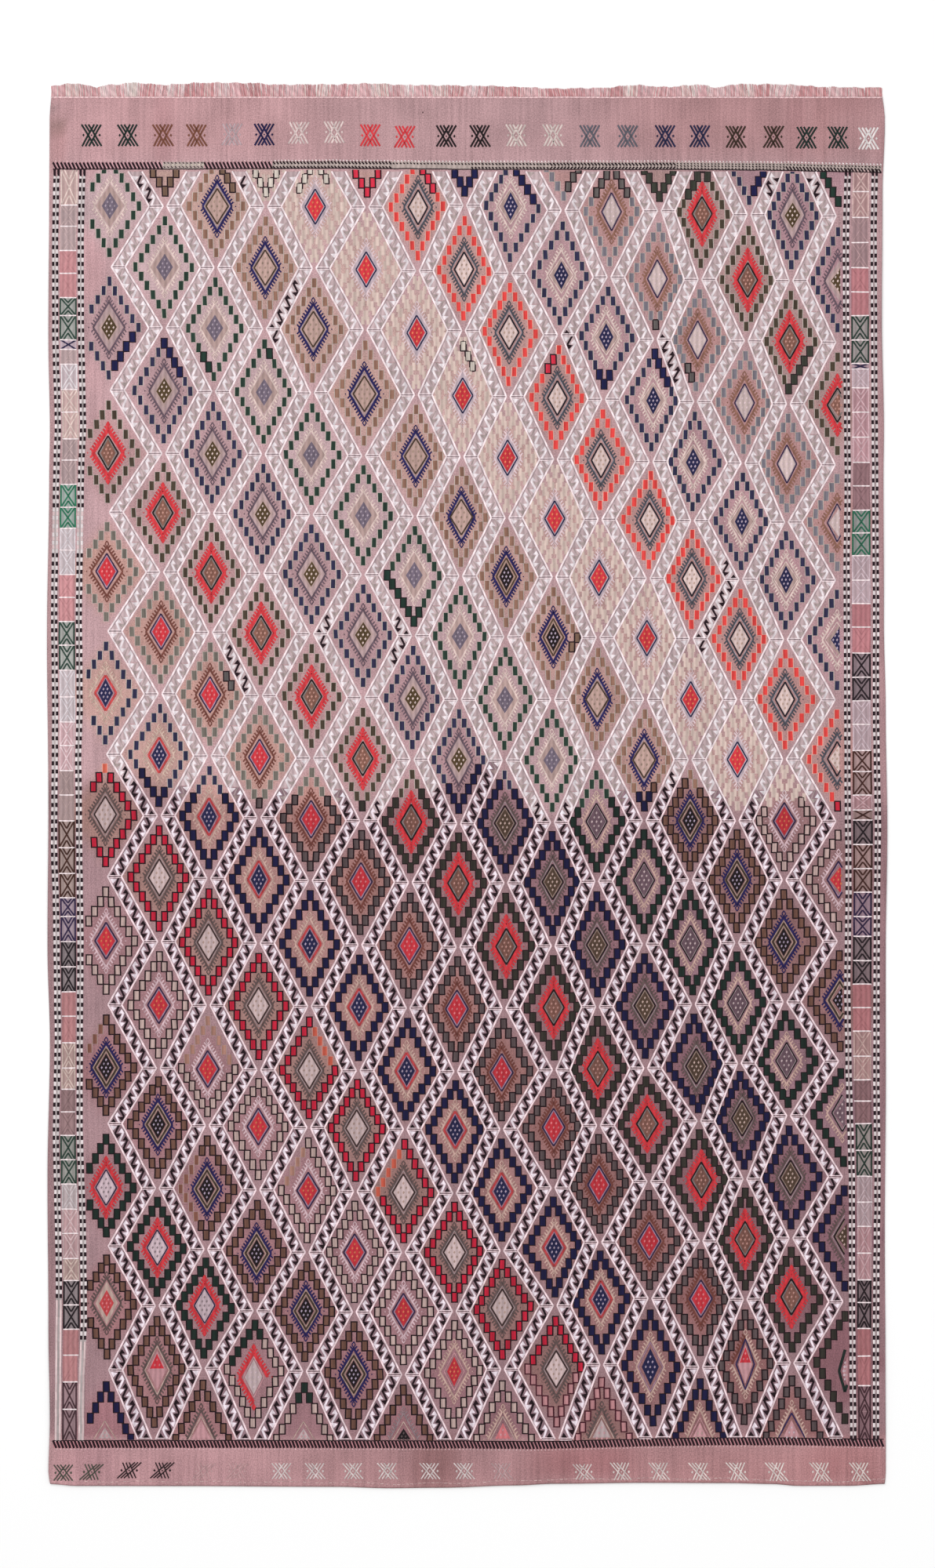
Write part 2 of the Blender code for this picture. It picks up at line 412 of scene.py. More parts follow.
ribs = put(
    tree,
    "ShaderNodeTexWave",
    {"Vector": where, "Scale": 1 / (RIB_SPACING * 20), "Distortion": 1.5, "Detail": 2.0},
    bands_direction="X",
)
relief = put(tree, "ShaderNodeMath", {0: ribs.outputs["Fac"], 1: flecks}, operation="ADD")
shade_wool(tree, shader, "tint", grain, (1.4, 2.6, 0.58, 1.28), relief, 0.35, 0.0006)
cloth_mesh.materials.append(cloth_wool)
kilim = finished("kilim_ground", cloth_mesh)
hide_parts("kilim_cloth")

# ---------------------------------------------------------------- pattern yarns
# All the pattern is extra weft in dyed wool, floated over the ground cloth in short stitches so
# that it stands a little proud. Each stitch is a low pillow, block, float or wedge, laid in place.
SUNK = 0.25
FLOAT_LENGTH = 15.0
TONE_RANGE = (0.88, 1.10)
YARN_TONES = {  # red, green and blue above where the deeper dyes were used, and below
    "hooks": ((0.86, 0.77, 0.79), (0.77, 0.63, 0.67)),
    "diamond": ((0.86, 0.77, 0.79), (0.70, 0.62, 0.67)),
    "ring": ((1.00, 0.97, 0.98), (0.77, 0.60, 0.64)),
    "band": ((1.03, 1.02, 1.03), (0.83, 0.74, 0.76)),
    "box": ((0.97, 0.96, 0.98), (0.80, 0.77, 0.77)),
}
WHOLE_TONES = ((1.0, 1.0, 1.0),) * 2
LIGHT_TONE = (1.0, 0.92, 0.95)  # of the bands' pale yarns below
RIGHT_BORDER_TONE, RIGHT_BORDER_FROM = (0.85, 0.74, 0.77), 700
LOWEST_STITCH = 3.0  # a stitch that the field's edge cuts lower than this is left out
BLOCK, FLOAT, WEDGE = 0, 1, 2
STITCH_LEVELS = {  # how far each level is drawn in across and along, and its height
    BLOCK: ((0, 0, 0), (0.03, 0.02, 0.7), (0.16, 0.10, 1.0)),
    FLOAT: ((0, 0, 0), (0.15, 0.05, 1.0)),
    WEDGE: ((0, 0, 0), (0.10, 0.10, 1.0)),
}
stitch_shapes = bpy.data.collections.new("stitch_shapes")
for kind, levels in STITCH_LEVELS.items():
    corners = []
    for a, b, z in levels:
        if kind == WEDGE:
            outline = ((a, a), (1 - 2 * a, a), (a, 1 - 2 * a))
        else:
            outline = ((a - 0.5, b - 0.5), (0.5 - a, b - 0.5), (0.5 - a, 0.5 - b), (a - 0.5, 0.5 - b))
        corners += [(x, y, z) for x, y in outline]
    sides = len(outline)
    around = [
        (low + i, low + (i + 1) % sides, low + sides + (i + 1) % sides, low + sides + i)
        for low in range(0, len(corners) - sides, sides)
        for i in range(sides)
    ]
    top = range(len(corners) - sides, len(corners))
    shape = bpy.data.meshes.new(f"stitch_{kind}")
    shape.from_pydata(corners, [], [*around, [*top], [*range(sides)][::-1]])
    stitch_shapes.objects.link(bpy.data.objects.new(shape.name, shape))
dice = random.Random(31)
charted = {}


def woven_black(x, y):
    """1 where the rug's darker, bolder yarns were in use, and 0 elsewhere."""
    px, py = seen(x, y)
    return int(py > chart(BLACK_BELOW, px))


def in_field(x, y):
    """True inside the lattice field, clear of its borders."""
    px, py = seen(x, y)
    if not FIELD_LEFT < px < chart(FIELD_RIGHT, py):
        return False
    return chart(FIELD_TOP, px) < py < chart(FIELD_FOOT, px)


def patch(piece, kind, start, across, along, top, colour):
    """Chart one stitch: where it starts, its two sides and how proud it stands, in millimetres."""
    if across[0] * along[1] < across[1] * along[0]:
        across, along = (along, across) if kind == WEDGE else (np.negative(across), along)
    tone = dice.uniform(*TONE_RANGE)
    shares = YARN_TONES.get(piece.split("_")[0], WHOLE_TONES)[woven_black(*start)]
    if piece in ("band_lines", "band_light_hooks") and shares[0] < 1:
        shares = LIGHT_TONE
    if piece.startswith(("box_", "guard_ground")) and start[0] > RIGHT_BORDER_FROM:
        shares = np.multiply(shares, RIGHT_BORDER_TONE)
    matrix = (*across, 0, 0, *along, 0, 0, 0, 0, top + SUNK, 0, *start, -SUNK, 1000)
    dye = [*(np.array(linear(colour)[:3]) * tone * shares), 1.0]
    charted.setdefault(piece, []).append((kind, matrix, dye))


def block(piece, middle, wide, tall, top, colour, lean=0.0, kind=BLOCK):
    """An upright stitch round its middle."""
    patch(piece, kind, middle, (wide, 0), (lean, tall), top, colour)


def run(piece, start, end, width, top, colour, everywhere=False):
    """A line of yarn from start to end, as short floats end to end."""
    reach = np.subtract(end, start)
    length = math.hypot(*reach)
    count = max(1, round(length / FLOAT_LENGTH))
    aside = np.array((reach[1], -reach[0])) / length * width
    for i in range(count):
        middle = start + reach * (i + 0.5) / count
        if everywhere or in_field(*middle):
            patch(piece, FLOAT, middle, aside, reach / count * 1.05, top, colour)


def oblong(piece, middle, wide, tall, top, colour, lean):
    """A block of floats, cut off where the field ends."""
    x, y = middle
    px, py = seen(x, y)
    high = min(y + tall / 2, at(0, chart(FIELD_TOP, px))[1])
    low = max(y - tall / 2, at(0, chart(FIELD_FOOT, px))[1])
    if high - low > LOWEST_STITCH and FIELD_LEFT + 4 < px < chart(FIELD_RIGHT, py):
        block(piece, (x, (low + high) / 2), wide, high - low, top, colour, lean)


def wedge(piece, corners, top, colour):
    """A three-cornered stitch."""
    a, b, c = np.array(corners)
    patch(piece, WEDGE, a, b - a, c - a, top, colour)


def lozenge(piece, middle, half_wide, half_tall, top, colour):
    """A solid lozenge, or half of one where the field cuts it."""
    x, y = middle
    if not in_field(x + half_wide, y) and in_field(x - half_wide, y):
        wedge(piece, ((x - half_wide, y), (x + 6, y - half_tall), (x + 6, y + half_tall)), top, colour)
    elif in_field(x, y) and not in_field(x, y - half_tall):
        wedge(piece, ((x, y + half_tall), (x - half_wide, y), (x + half_wide, y)), top, colour)
    elif in_field(x, y):
        patch(piece, BLOCK, middle, (half_wide, -half_tall), (half_wide, half_tall), top, colour)


def lozenge_line(piece, middle, half_wide, half_tall, width, top, colour):
    """A lozenge drawn with a line of yarn."""
    x, y = middle
    ends = [(x, y + half_tall), (x + half_wide, y), (x, y - half_tall), (x - half_wide, y)]
    for a, b in zip(ends, ends[1:] + ends[:1]):
        run(piece, a, b, width, top, colour)


# ---------------------------------------------------------------- lattice bands
# Zigzag bands run up the rug between the diamonds, back to back at each crossing. Each is a grey
# filling between two pale lines, with light hooks turned against dark ones. The dark hooks were
# woven in black below the middle, and above it in a yarn that has all but faded out.
BAND_GAP = 4.1
BAND_WIDTH = 28.7
TIE_SPREAD, TIE_WIDTH = 2.3, 1.9
BAND_FILLINGS = ("#B9A3A5", "#9A828A")  # above where black yarn was used, and below
OUTLINE_DYE = "#EFDFE1"
OUTLINE = (3.9, 1.0, OUTLINE_DYE, "band_lines")  # width, height, dye and piece
SHADOW = (1.5, 0.5, "#9A878C", "band_faded_hooks")
LIGHT_HOOK_DYES = ("#E0D6D9", "#E8E2E8")
FADED_HOOK_DYE = "#A39491"
BLACK = "#221119"
FADED_STEM, BOLD_STEM = 2.4, 5.4
HOOK_HEAD = ((0.15, -0.012), (0.11, 0.078), (0.64, 0.072))  # shares across and down the band
HOOK_STEM = ((0.24, 0.068), (0.84, 0.200))
HOOK_FOOT = ((0.38, 0.208), (0.95, 0.192), (0.93, 0.288))
DARK_HOOKS_AT = (-0.05, 0.19, 0.432, 0.673, 0.915)
LIGHT_HOOKS_AT = (-0.17, 0.07, 0.31, 0.553, 0.795)
BANDS_FROM = 219
BLACK_PATCHES = (  # left, top, right and bottom, in pixels, where it was used above that too
    (160, 214, 200, 252), (300, 214, 318, 238), (970, 214, 1000, 244), (1024, 214, 1064, 258),
    (345, 350, 392, 436), (714, 420, 732, 442), (838, 420, 872, 484), (884, 722, 945, 832),
    (404, 780, 430, 828), (488, 780, 524, 848), (280, 816, 334, 888),
)


def black_hook(x, y):
    """True where a band's dark hooks are black."""
    px, py = seen(x, y)
    return woven_black(x, y) or any(a < px < c and b < py < d for a, b, c, d in BLACK_PATCHES)


for row in range(-1, len(ROW_LINES) - 1):
    for strip in range(len(CROSSING_LINES) - 1):
        falls_right = (strip + row) % 2
        turn = 1 if falls_right else -1
        upper, lower = crossing(strip + 1 - falls_right, row), crossing(strip + falls_right, row + 1)
        (ax, ay), (bx, by) = at(*upper), at(*lower)

        def spot(q, s):
            """A place in the band: q across from its inner edge at the top, s down it."""
            top = ax + turn * (BAND_GAP + BAND_WIDTH * (1 - q))
            bottom = bx - turn * (BAND_GAP + BAND_WIDTH * q)
            return np.array((top + (bottom - top) * s, ay + (by - ay) * s))

        cut = max(0.0, (BANDS_FROM - upper[1]) / (lower[1] - upper[1]))
        across, along = spot(1, cut) - spot(0, cut), spot(0, 1) - spot(0, cut)
        middle = spot(0, cut) + (across + along) / 2
        for half in (-0.25, 0.25):
            place = middle + half * along
            filling = BAND_FILLINGS[woven_black(*place)]
            patch("band_ground", BLOCK, place, 0.97 * across, 0.5 * along, 0.35, filling)
        for q, (width, top, dye, piece) in ((0, OUTLINE), (1, OUTLINE), (0.125, SHADOW), (0.875, SHADOW)):
            run(piece, spot(q, cut), spot(q, 1), width, top, dye)
        for s, y, tied in ((0, ay, row >= 0), (1, by, row == len(ROW_LINES) - 2)):
            for shift, (*_, dye, piece) in ((TIE_SPREAD, OUTLINE), (-TIE_SPREAD, OUTLINE), (0, SHADOW)):
                if tied:
                    ends = [(spot(q, s)[0], y + shift) for q in (0.04, 0.96)]
                    run(piece, *ends, TIE_WIDTH, 0.9, dye)
        for start in (*DARK_HOOKS_AT, *LIGHT_HOOKS_AT):
            here = spot(0.5, start + 0.14)
            if start in LIGHT_HOOKS_AT:
                piece, dye = "band_light_hooks", LIGHT_HOOK_DYES[woven_black(*here)]
            elif black_hook(*here):
                piece, dye = "band_black_hooks", BLACK
            else:
                piece, dye = "band_faded_hooks", FADED_HOOK_DYE
            bold = dye != FADED_HOOK_DYE
            for shape in (HOOK_HEAD, HOOK_STEM, HOOK_FOOT):
                downs = [s + start for q, s in shape]
                if min(downs) < cut or max(downs) > 1.0:
                    continue
                corners = [spot(q, s) for (q, _), s in zip(shape, downs)]
                if shape is HOOK_STEM:
                    run(piece, *corners, BOLD_STEM if bold else FADED_STEM, 0.7, dye)
                elif in_field(*corners[0]) and (bold or shape is HOOK_FOOT):
                    wedge(piece, corners, 0.8, dye)

# ---------------------------------------------------------------- rings of blocks
# A ring of twenty blocks steps round each diamond. Above the middle they are small and lie on a
# pale stitch; below it, and in a few runs above, they are larger and outlined in black.
RING_SHARE = (0.53, 0.76)
RING_PLACES = 20
PLAIN_BLOCK = (9.2, 19.6)
HALO_MARGIN = (3.0, 1.4)
BOLD_BLOCK = (9.4, 18.6)
BOLD_OUTLINE = (15.2, 23.6)
DEEP_BLOCK = (11.2, 20.2)
FADED_BLOCK = (7.6, 17.0)
HALO_DYES = dict(red="#E2AB9D", crimson="#DDA99C", orange="#DDAF9F", beige="#C9B2AC")
HALO_DYE = "#B9AEA6"
RING_DYES = dict(  # plain, and where outlined
    navy=("#2D2C48", "#1A1B47"), olive=("#463C30", "#383A32"), grey=("#75717A", "#605B59"),
    red=("#D7423F", "#CC2E44"), beige=("#CDB9AF", "#CBC2B7"), tan=("#8A6757", "#775E4E"),
    bottle=("#25392F", "#1D332B"), smoke=("#6F6A62", "#605C5B"), crimson=("#C8604E", "#CC2844"),
    ash=("#B8AFA4", "#C9C2B6"), orange=("#CF6A52",) * 2, sand=("#B3937F",) * 2,
    rust=("#8F6A58",) * 2, rose=("#C79E9E",) * 2,
)
OUTLINES_OF = dict(rose="#4C1C2C")
DEEP_DYES = ("navy", "bottle", "olive")
NEVER_BOLD = ("orange", "sand", "rust")
FADED_DIAGONAL = 4
FADED_RINGS = ((0.425, 0.62, 16), (0.63, 0.92, 24))  # shares across and down, blocks
RING_BY_DIAGONAL = {
    16: "bottle", 14: "navy", 12: "olive", 10: "grey", 8: "navy", 6: "red", 4: "beige", 2: "tan",
    0: "bottle", -2: "navy", -4: "olive", -6: "smoke", -8: "navy", -10: "crimson", -12: "ash",
    -14: "tan", -16: "bottle", -18: "tan", -20: "navy",
}
BOLD_RUNS = {  # diamonds whose blocks from one place to another, clockwise from the top, are bold
    (0, 2): (6, 9), (1, 3): (0, 3), (2, 2): (11, 12), (3, 3): (1, 1), (7, 3): (0, 2),
    (9, 3): (18, 19), (10, 2): (9, 11), (11, 3): (0, 3), (12, 2): (11, 12), (11, 1): (10, 10),
    (14, 2): (6, 10), (6, 6): (9, 15), (9, 7): (5, 6), (2, 8): (3, 4), (2, 0): (1, 3),
    (4, 0): (17, 22), (6, 0): (1, 3), (8, 0): (0, 4), (10, 0): (17, 23), (12, 0): (17, 21),
    (0, 10): (18, 19), (9, -1): (7, 9), (13, -1): (7, 9),
}
REWOVEN_RUNS = {  # blocks woven in another dye, with no outline unless the dye is a deep one
    (4, 14): (1, 4, "orange"), (2, 14): (16, 24, "sand"), (4, 16): (16, 19, "sand"),
    (6, 16): (15, 19, "orange"), (0, 14): (16, 19, "rust"), (2, 16): (12, 18, "rust"),
    (11, 9): (9, 11, "navy"), (10, 20): (0, 19, "rose"), (3, 19): (2, 15, "ash"),
    (9, 19): (6, 15, "rose"), (4, 20): (2, 18, "ash"),
}
NO_RUN = (99, 99)
BLOCK_SHIFT, BLOCK_SPREAD, BLOCK_LEANS = 0.6, 0.7, (-0.9, 0.6)  # the unevenness of handwork


def ring_place(line, row, across, down, share):
    """A place on a ring in a diamond, clockwise from its top, at a share of the way round."""
    middle = at(*crossing(line, row))
    reaches = (down, across) * 2
    corners = [middle + (corner - middle) * n for corner, n in zip(corners_of(line, row), reaches)]
    quarter, part = divmod(share * 4, 1)
    start, end = corners[int(quarter)], corners[(int(quarter) + 1) % 4]
    return start + (end - start) * part + [dice.uniform(-BLOCK_SHIFT, BLOCK_SHIFT) for _ in "xy"]


def in_run(place, first, last):
    """True if a place on a ring is in a run that may pass the top."""
    return first <= place <= last or first <= place + RING_PLACES <= last


for line, row in DIAMONDS:
    first, last, new_dye = REWOVEN_RUNS.get((line, row), (*NO_RUN, None))
    all_bold = row == -1 and (line, row) not in BOLD_RUNS
    for n in range(RING_PLACES):
        place = ring_place(line, row, *RING_SHARE, n / RING_PLACES)
        dye = new_dye if in_run(n, first, last) else RING_BY_DIAGONAL[line - row]
        bold = woven_black(*place) or all_bold or in_run(n, *BOLD_RUNS.get((line, row), NO_RUN))
        lean = dice.uniform(*BLOCK_LEANS)
        if bold and dye not in NEVER_BOLD:
            oblong("ring_outlines", place, *BOLD_OUTLINE, 0.6, OUTLINES_OF.get(dye, BLACK), lean)
            size = DEEP_BLOCK if dye in DEEP_DYES else BOLD_BLOCK
            oblong("ring_blocks", place, *size, 1.0, RING_DYES[dye][1], lean)
        else:
            size = [length + dice.uniform(-BLOCK_SPREAD, BLOCK_SPREAD) for length in PLAIN_BLOCK]
            halo = np.add(size, HALO_MARGIN)
            oblong("ring_halos", place, *halo, 0.35, HALO_DYES.get(dye, HALO_DYE), lean)
            oblong("ring_blocks", place, *size, 0.9, RING_DYES[dye][0], lean)
    for across, down, count in FADED_RINGS if line - row == FADED_DIAGONAL else ():
        for n in range(count):
            place = ring_place(line, row, across, down, (n + 0.5) / count)
            if not woven_black(*place):
                lean = dice.uniform(*BLOCK_LEANS)
                oblong("ring_blocks", place, *FADED_BLOCK, 0.5, RING_DYES["beige"][0], lean)

# ---------------------------------------------------------------- hooked diamonds
# Inside each ring stands a lozenge fringed with slanting hooks, a little eye at its top and foot,
# lines of other yarns within it, and a middle set with small upright floats. The colours keep to
# the diagonals of the lattice, and change where the bolder yarns start.
NOMINAL_HALF = (108.0, 128.0)
HOOK_LOZENGE = (31.0, 52.5)
HOOKS_A_SIDE = 9
HOOK_TIP_SHIFT = 0.5
HOOK_REACH = (5.6, 6.4)
HOOK_LINE, HOOK_WIDTH = 4.1, 3.5
HEAVY_YARN, HEAVY_LINE = "indigo", 5.2
LIGHT_YARN, LIGHT_HOOK = "mauve", 2.8
EYE_HEIGHT, EYE_SIZE = 59.4, (3.9, 6.2)
SIDE_DOT_AT, SIDE_DOT = 39.6, (1.5, 1.9)
THICKNESS_OF = dict(O=2, H=1, h=1)  # how thick the hooks' own line is, where it isn't thin
THICK_HOOK_LINES = (0.0, 5.8, 7.6)
LOWER_SIZE = 1.05
DOT_HALF = (2.5, 3.7)
DOT_PITCH = (0.51, 0.27)  # shares of the middle's half width and half height
DOT_ROWS = (1, 2, 3, 2, 1)
YARN = dict(
    cream="#E2D3CA", milk="#E3D4D6", mauve="#6C5E69", scarlet="#DC4249", nut="#96705F",
    steel="#50565F", indigo="#2A2660", umber="#7B4C42", ash="#6A605C", black="#231A1D",
    grey="#8F8A84", mist="#B3A8A6", plum="#3B2D50", orchid="#B79CB2", lilac="#BDB3C4",
    walnut="#57482F", sienna="#8A6355", peach="#CBA091", pearl="#D6C8C3", navy="#292A52",
    bone="#D3BFAF", red="#D63C46", pink="#EE8F90", flame="#E98B62", coral="#CD4F50",
    stone="#BBA69F", haze="#BCA8A7", oat="#BCA695", bark="#4A3F33", biscuit="#C3AA9F",
    silver="#B0A6AC", ink="#23242F", shell="#E0D0C9", frost="#C0B6BD", drab="#5B4B3B",
    fawn="#BDA8A2", slate="#756D7C", fog="#ADA5B0", dusk="#77626A", thistle="#6A6279",
    dove="#9C9092", char="#3A3332", putty="#A1907F", bottle="#25332E", blush="#DDAEAF",
    violet="#3A3160",
)
# Hook yarn, dots, the middle (yarn, half width, half height), and the solids round it, or lines,
# which have a line width too; all sizes in millimetres.
SCHEMES = dict(
    G=("cream", "fog", ("slate", 18.5, 30), ("stone", 30, 47)),
    g=("bone", "pearl", ("dusk", 18, 32), ("black", 20.7, 36.1, 3.5), ("mist", 18.7, 33.2, 1.8)),
    M=("mauve", "cream", ("walnut", 19, 31), ("haze", 30, 49.5), ("fawn", 25.5, 41.5)),
    m=(
        "ash", "bone", ("drab", 16.5, 29),
        ("mist", 24.6, 42.6, 2.0), ("black", 20.7, 35.4, 3.5), ("putty", 17.9, 30.8, 2.6),
    ),
    O=("scarlet", "peach", ("sienna", 16, 29.5), ("black", 21.2, 35.8, 3.7), ("grey", 17.9, 31.2, 3.0)),
    T=("nut", "milk", ("pearl", 18.5, 35.5), ("plum", 20.3, 39.7, 3.5), ("silver", 18.2, 36.4, 1.8)),
    N=("cream", "lilac", ("navy", 16, 31.2), ("stone", 25, 38), ("cream", 25.1, 37.7, 2.4)),
    R=("steel", "oat", ("shell", 18.4, 33), ("silver", 26.6, 45.9, 2.2), ("ink", 20.3, 36.4, 3.7)),
    P=("milk", "flame", ("red", 18.2, 32.8), ("frost", 31, 51.5), ("navy", 21.2, 37.1, 3.5)),
    B=("indigo", "putty", ("biscuit", 22, 35.5), ("silver", 27.6, 45.1, 2.2), ("bark", 23.3, 37.1, 3.5)),
    K=("umber", "pink", ("red", 18.5, 31.5), ("plum", 22.6, 37.4, 3.7), ("orchid", 19.5, 33.8, 2.5)),
    C=("bone", "lilac", ("navy", 16.5, 30.5), ("coral", 22.1, 36.9, 5.4), ("orchid", 18.3, 31.8, 1.8)),
    D=("ash", "oat", ("shell", 20.3, 34), ("mist", 25.3, 42.6, 2.0), ("char", 22, 36.7, 2.9)),
    E=("milk", "flame", ("red", 18, 30), ("plum", 22.3, 36.7, 3.5), ("orchid", 19.4, 32.5, 2.1)),
    F=(
        "indigo", "lilac", ("black", 16, 29),
        ("oat", 25.7, 42.6, 2.8), ("bark", 22.1, 37.7, 4.1), ("oat", 18.5, 32, 2.5),
    ),
    V=("indigo", "lilac", ("black", 15.5, 30.5), ("drab", 21, 39, 3.5), ("oat", 17.7, 33.5, 2.1)),
    H=("scarlet", "dove", ("milk", 18, 31.5), ("plum", 20.3, 34.9, 3.5), ("milk", 18.2, 32.5, 1.8)),
    J=("ash", "pink", ("coral", 15.5, 28.5), ("bone", 23, 44.5)),
    j=("ash", "pink", ("red", 18.5, 39), ("bone", 24.0, 48.5, 2.6)),
    h=("scarlet", "milk", ("pearl", 18, 36), ("blush", 20.5, 41, 2.4)),
    e=("bone", "flame", ("red", 14.5, 30.5), ("blush", 20, 38, 2.2)),
    c=("bone", "lilac", ("navy", 17.5, 38), ("orchid", 24.6, 49.2, 2.0)),
    k=("bone", "pink", ("red", 14.5, 40), ("violet", 17.9, 50.8, 3.4)),
    b=("", "milk", ("blush", 6, 30), ("bottle", 12.0, 42.0, 6.6)),
    t=("", "blush", ("pearl", 15, 24), ("bone", 22, 36, 2.4)),
    y=("ash", "blush", ("blush", 20, 40), ("bone", 24.6, 46, 2.6)),
    x=("bone", "blush", ("pink", 17, 35), ("bone", 24.6, 46, 2.6)),
    z=("ash", "blush", ("pearl", 20, 40), ("bone", 24.6, 46, 2.6)),
    w=("bone", "bone", ("blush", 15, 32), ("blush", 20, 40, 2.2)),
    s=("dove", "ash", ("black", 15.5, 24), ("bone", 22, 36, 2.4)),
    v=("bone", "milk", ("blush", 18, 36), ("violet", 26.2, 48, 3.4)),
)
SCHEME_BY_DIAGONAL = {  # above where the bolder yarns start, and below
    16: "GG", 14: "MM", 12: "OO", 10: "TT", 8: "NN", 6: "RR", 4: "PE", 2: "BF", 0: "Gg", -2: "Mm",
    -4: "OO", -6: "KK", -8: "CC", -10: "DD", -12: "EE", -14: "FF", -16: "HH", -18: "JJ", -20: "EE",
}
ODD_SCHEMES = {
    (8, 6): "V", (9, 7): "V", (1, 19): "j", (3, 19): "h", (7, 19): "e", (11, 19): "c",
    (13, 19): "k", (15, 19): "b", (0, 20): "t", (2, 20): "y", (4, 20): "t", (6, 20): "s",
    (8, 20): "x", (10, 20): "z", (12, 20): "w", (14, 20): "v",
}
HALF_MIDDLES = "jk"  # only the upper half of the middle was filled
CENTRE_DROPS = {(3, 19): 13.0, (15, 19): 19.0}
HOOK_CHANGES = {(3, 19, 1, -1): "", (13, 19, -1, 1): "umber"}  # diamond, right or left, up or down

for line, row in DIAMONDS:
    if row < 0:
        continue
    (x, y), *half = diamond(line, row)
    y -= CENTRE_DROPS.get((line, row), 0.0)
    kx, ky = np.divide(half, NOMINAL_HALF)
    bold = int(row >= LOWER_FROM_ROW)
    scheme = ODD_SCHEMES.get((line, row), SCHEME_BY_DIAGONAL[line - row][bold])
    hook_yarn, dots, (middle_yarn, *middle_half), *inlays = SCHEMES[scheme]
    inner = LOWER_SIZE if bold else 1.0
    thickness = THICKNESS_OF.get(scheme, 0)
    wide, tall = HOOK_LOZENGE[0] * kx, HOOK_LOZENGE[1] * ky
    for n, (yarn, a, b) in enumerate(inlay for inlay in inlays if len(inlay) == 3):
        lozenge("diamond_fillings", (x, y), a * inner, b * inner, 0.35 + 0.1 * n, YARN[yarn])
    for right, up in ((1, 1), (1, -1), (-1, 1), (-1, -1)):
        yarn = HOOK_CHANGES.get((line, row, right, up), hook_yarn)
        if not yarn:
            continue
        hooks, dye = "hooks_" + yarn, YARN[yarn]
        if thickness:
            ends = ((x, y + up * (tall - 4.0)), (x + right * (wide - 2.0), y))
            run(hooks, *ends, THICK_HOOK_LINES[thickness], 0.8, dye)
        line_width = HEAVY_LINE if yarn == HEAVY_YARN else HOOK_LINE
        hook_width = LIGHT_HOOK if yarn == LIGHT_YARN else HOOK_WIDTH + 0.6 * thickness
        run(hooks, (x, y + up * tall), (x + right * wide, y), line_width, 0.85, dye)
        for i in range(HOOKS_A_SIDE):
            part = (i + 0.55) / HOOKS_A_SIDE
            root = (x + right * wide * (1 - part), y + up * tall * part)
            shift = dice.uniform(-HOOK_TIP_SHIFT, HOOK_TIP_SHIFT)
            tip = (root[0] + right * HOOK_REACH[0] + shift, root[1] + up * HOOK_REACH[1])
            run(hooks, root, tip, hook_width, 0.75, dye)
    for side in (1, -1) if hook_yarn else ():
        hooks, dye = "hooks_" + hook_yarn, YARN[hook_yarn]
        lozenge(hooks, (x + side * SIDE_DOT_AT * kx, y), *SIDE_DOT, 0.7, dye)
        eye = (x, y + side * EYE_HEIGHT * ky)
        lozenge_line(hooks, eye, *EYE_SIZE, 2.4, 0.8, dye)
        if thickness:
            lozenge(hooks, eye, *EYE_SIZE, 0.6, dye)
    for yarn, a, b, width in (inlay for inlay in inlays if len(inlay) == 4):
        lozenge_line("diamond_lines", (x, y), a * inner, b * inner, width, 0.8, YARN[yarn])
    a, b = middle_half[0] * inner, middle_half[1] * inner
    if scheme in HALF_MIDDLES:
        wedge("diamond_fillings", ((x, y + b), (x - a, y), (x + a, y)), 0.6, YARN[middle_yarn])
        lozenge("diamond_fillings", (x, y), a, b, 0.5, YARN["blush"])
    else:
        lozenge("diamond_fillings", (x, y), a, b, 0.6, YARN[middle_yarn])
    for i, count in enumerate(DOT_ROWS):
        v = y + b * DOT_PITCH[1] * ((len(DOT_ROWS) - 1) / 2 - i)
        for j in range(count):
            u = x + (j - (count - 1) / 2) * a * DOT_PITCH[0]
            if in_field(u, v) and not (scheme in HALF_MIDDLES and v < y + 2):
                sides = ((DOT_HALF[0], -DOT_HALF[1]), DOT_HALF)
                patch("diamond_dots", FLOAT, (u, v), *sides, 1.0, YARN[dots])

# ---------------------------------------------------------------- side borders
# Down each side run a twisted guard line of black and white dashes, a column of little boxed
# stars that change colour every one or two boxes, and a second guard line by the selvedge.
DASH_PITCH = 17.4
DASH_SIZE = (5.2, 8.7)
FIRST_DASH = 16.0
WHITE_RUN = (645, 708)  # pixels down between which the left guards have no black
PALE_BELOW = (1662, 1716)  # and where, outer and inner, they turn to a pale line
PALE_LINE, PALE_LINE_WIDTH = "#D9BFC0", 4.3
GUARD_GROUND, GUARD_WHITE = "#ABA0A0", "#DDD2D3"
GUARD_GAP = 4.9  # pixels between the two lines of dashes of a guard
GUARD_WIDTH = 13.5
CELL_INSETS = (3.2, 4.2)  # pixels between a guard's dashes and the boxes, on the left and the right
LEFT_OUTER = (  # pixels down, and across to the middle of the guard
    (217, 72.5), (305, 70.7), (430, 70.8), (545, 74.2), (605, 71.9), (785, 69.3), (905, 70.8),
    (1085, 69.2), (1145, 71.5), (1325, 73.9), (1445, 71.4), (1625, 75.5), (1836, 74.0),
)
LEFT_INNER = (
    (217, 105.5), (305, 103.1), (430, 103.7), (545, 106.3), (605, 103.5), (785, 100.8),
    (905, 102.0), (965, 99.9), (1085, 101.5), (1205, 102.9), (1325, 102.0), (1445, 101.8),
    (1565, 105.9), (1685, 107.3), (1760, 104.0), (1836, 103.5),
)
RIGHT_INNER = (
    (217, 1080.6), (305, 1078.0), (430, 1078.4), (605, 1080.5), (725, 1079.0), (1025, 1080.4),
    (1145, 1081.5), (1265, 1079.9), (1385, 1082.0), (1505, 1085.8), (1685, 1086.2), (1836, 1087.6),
)
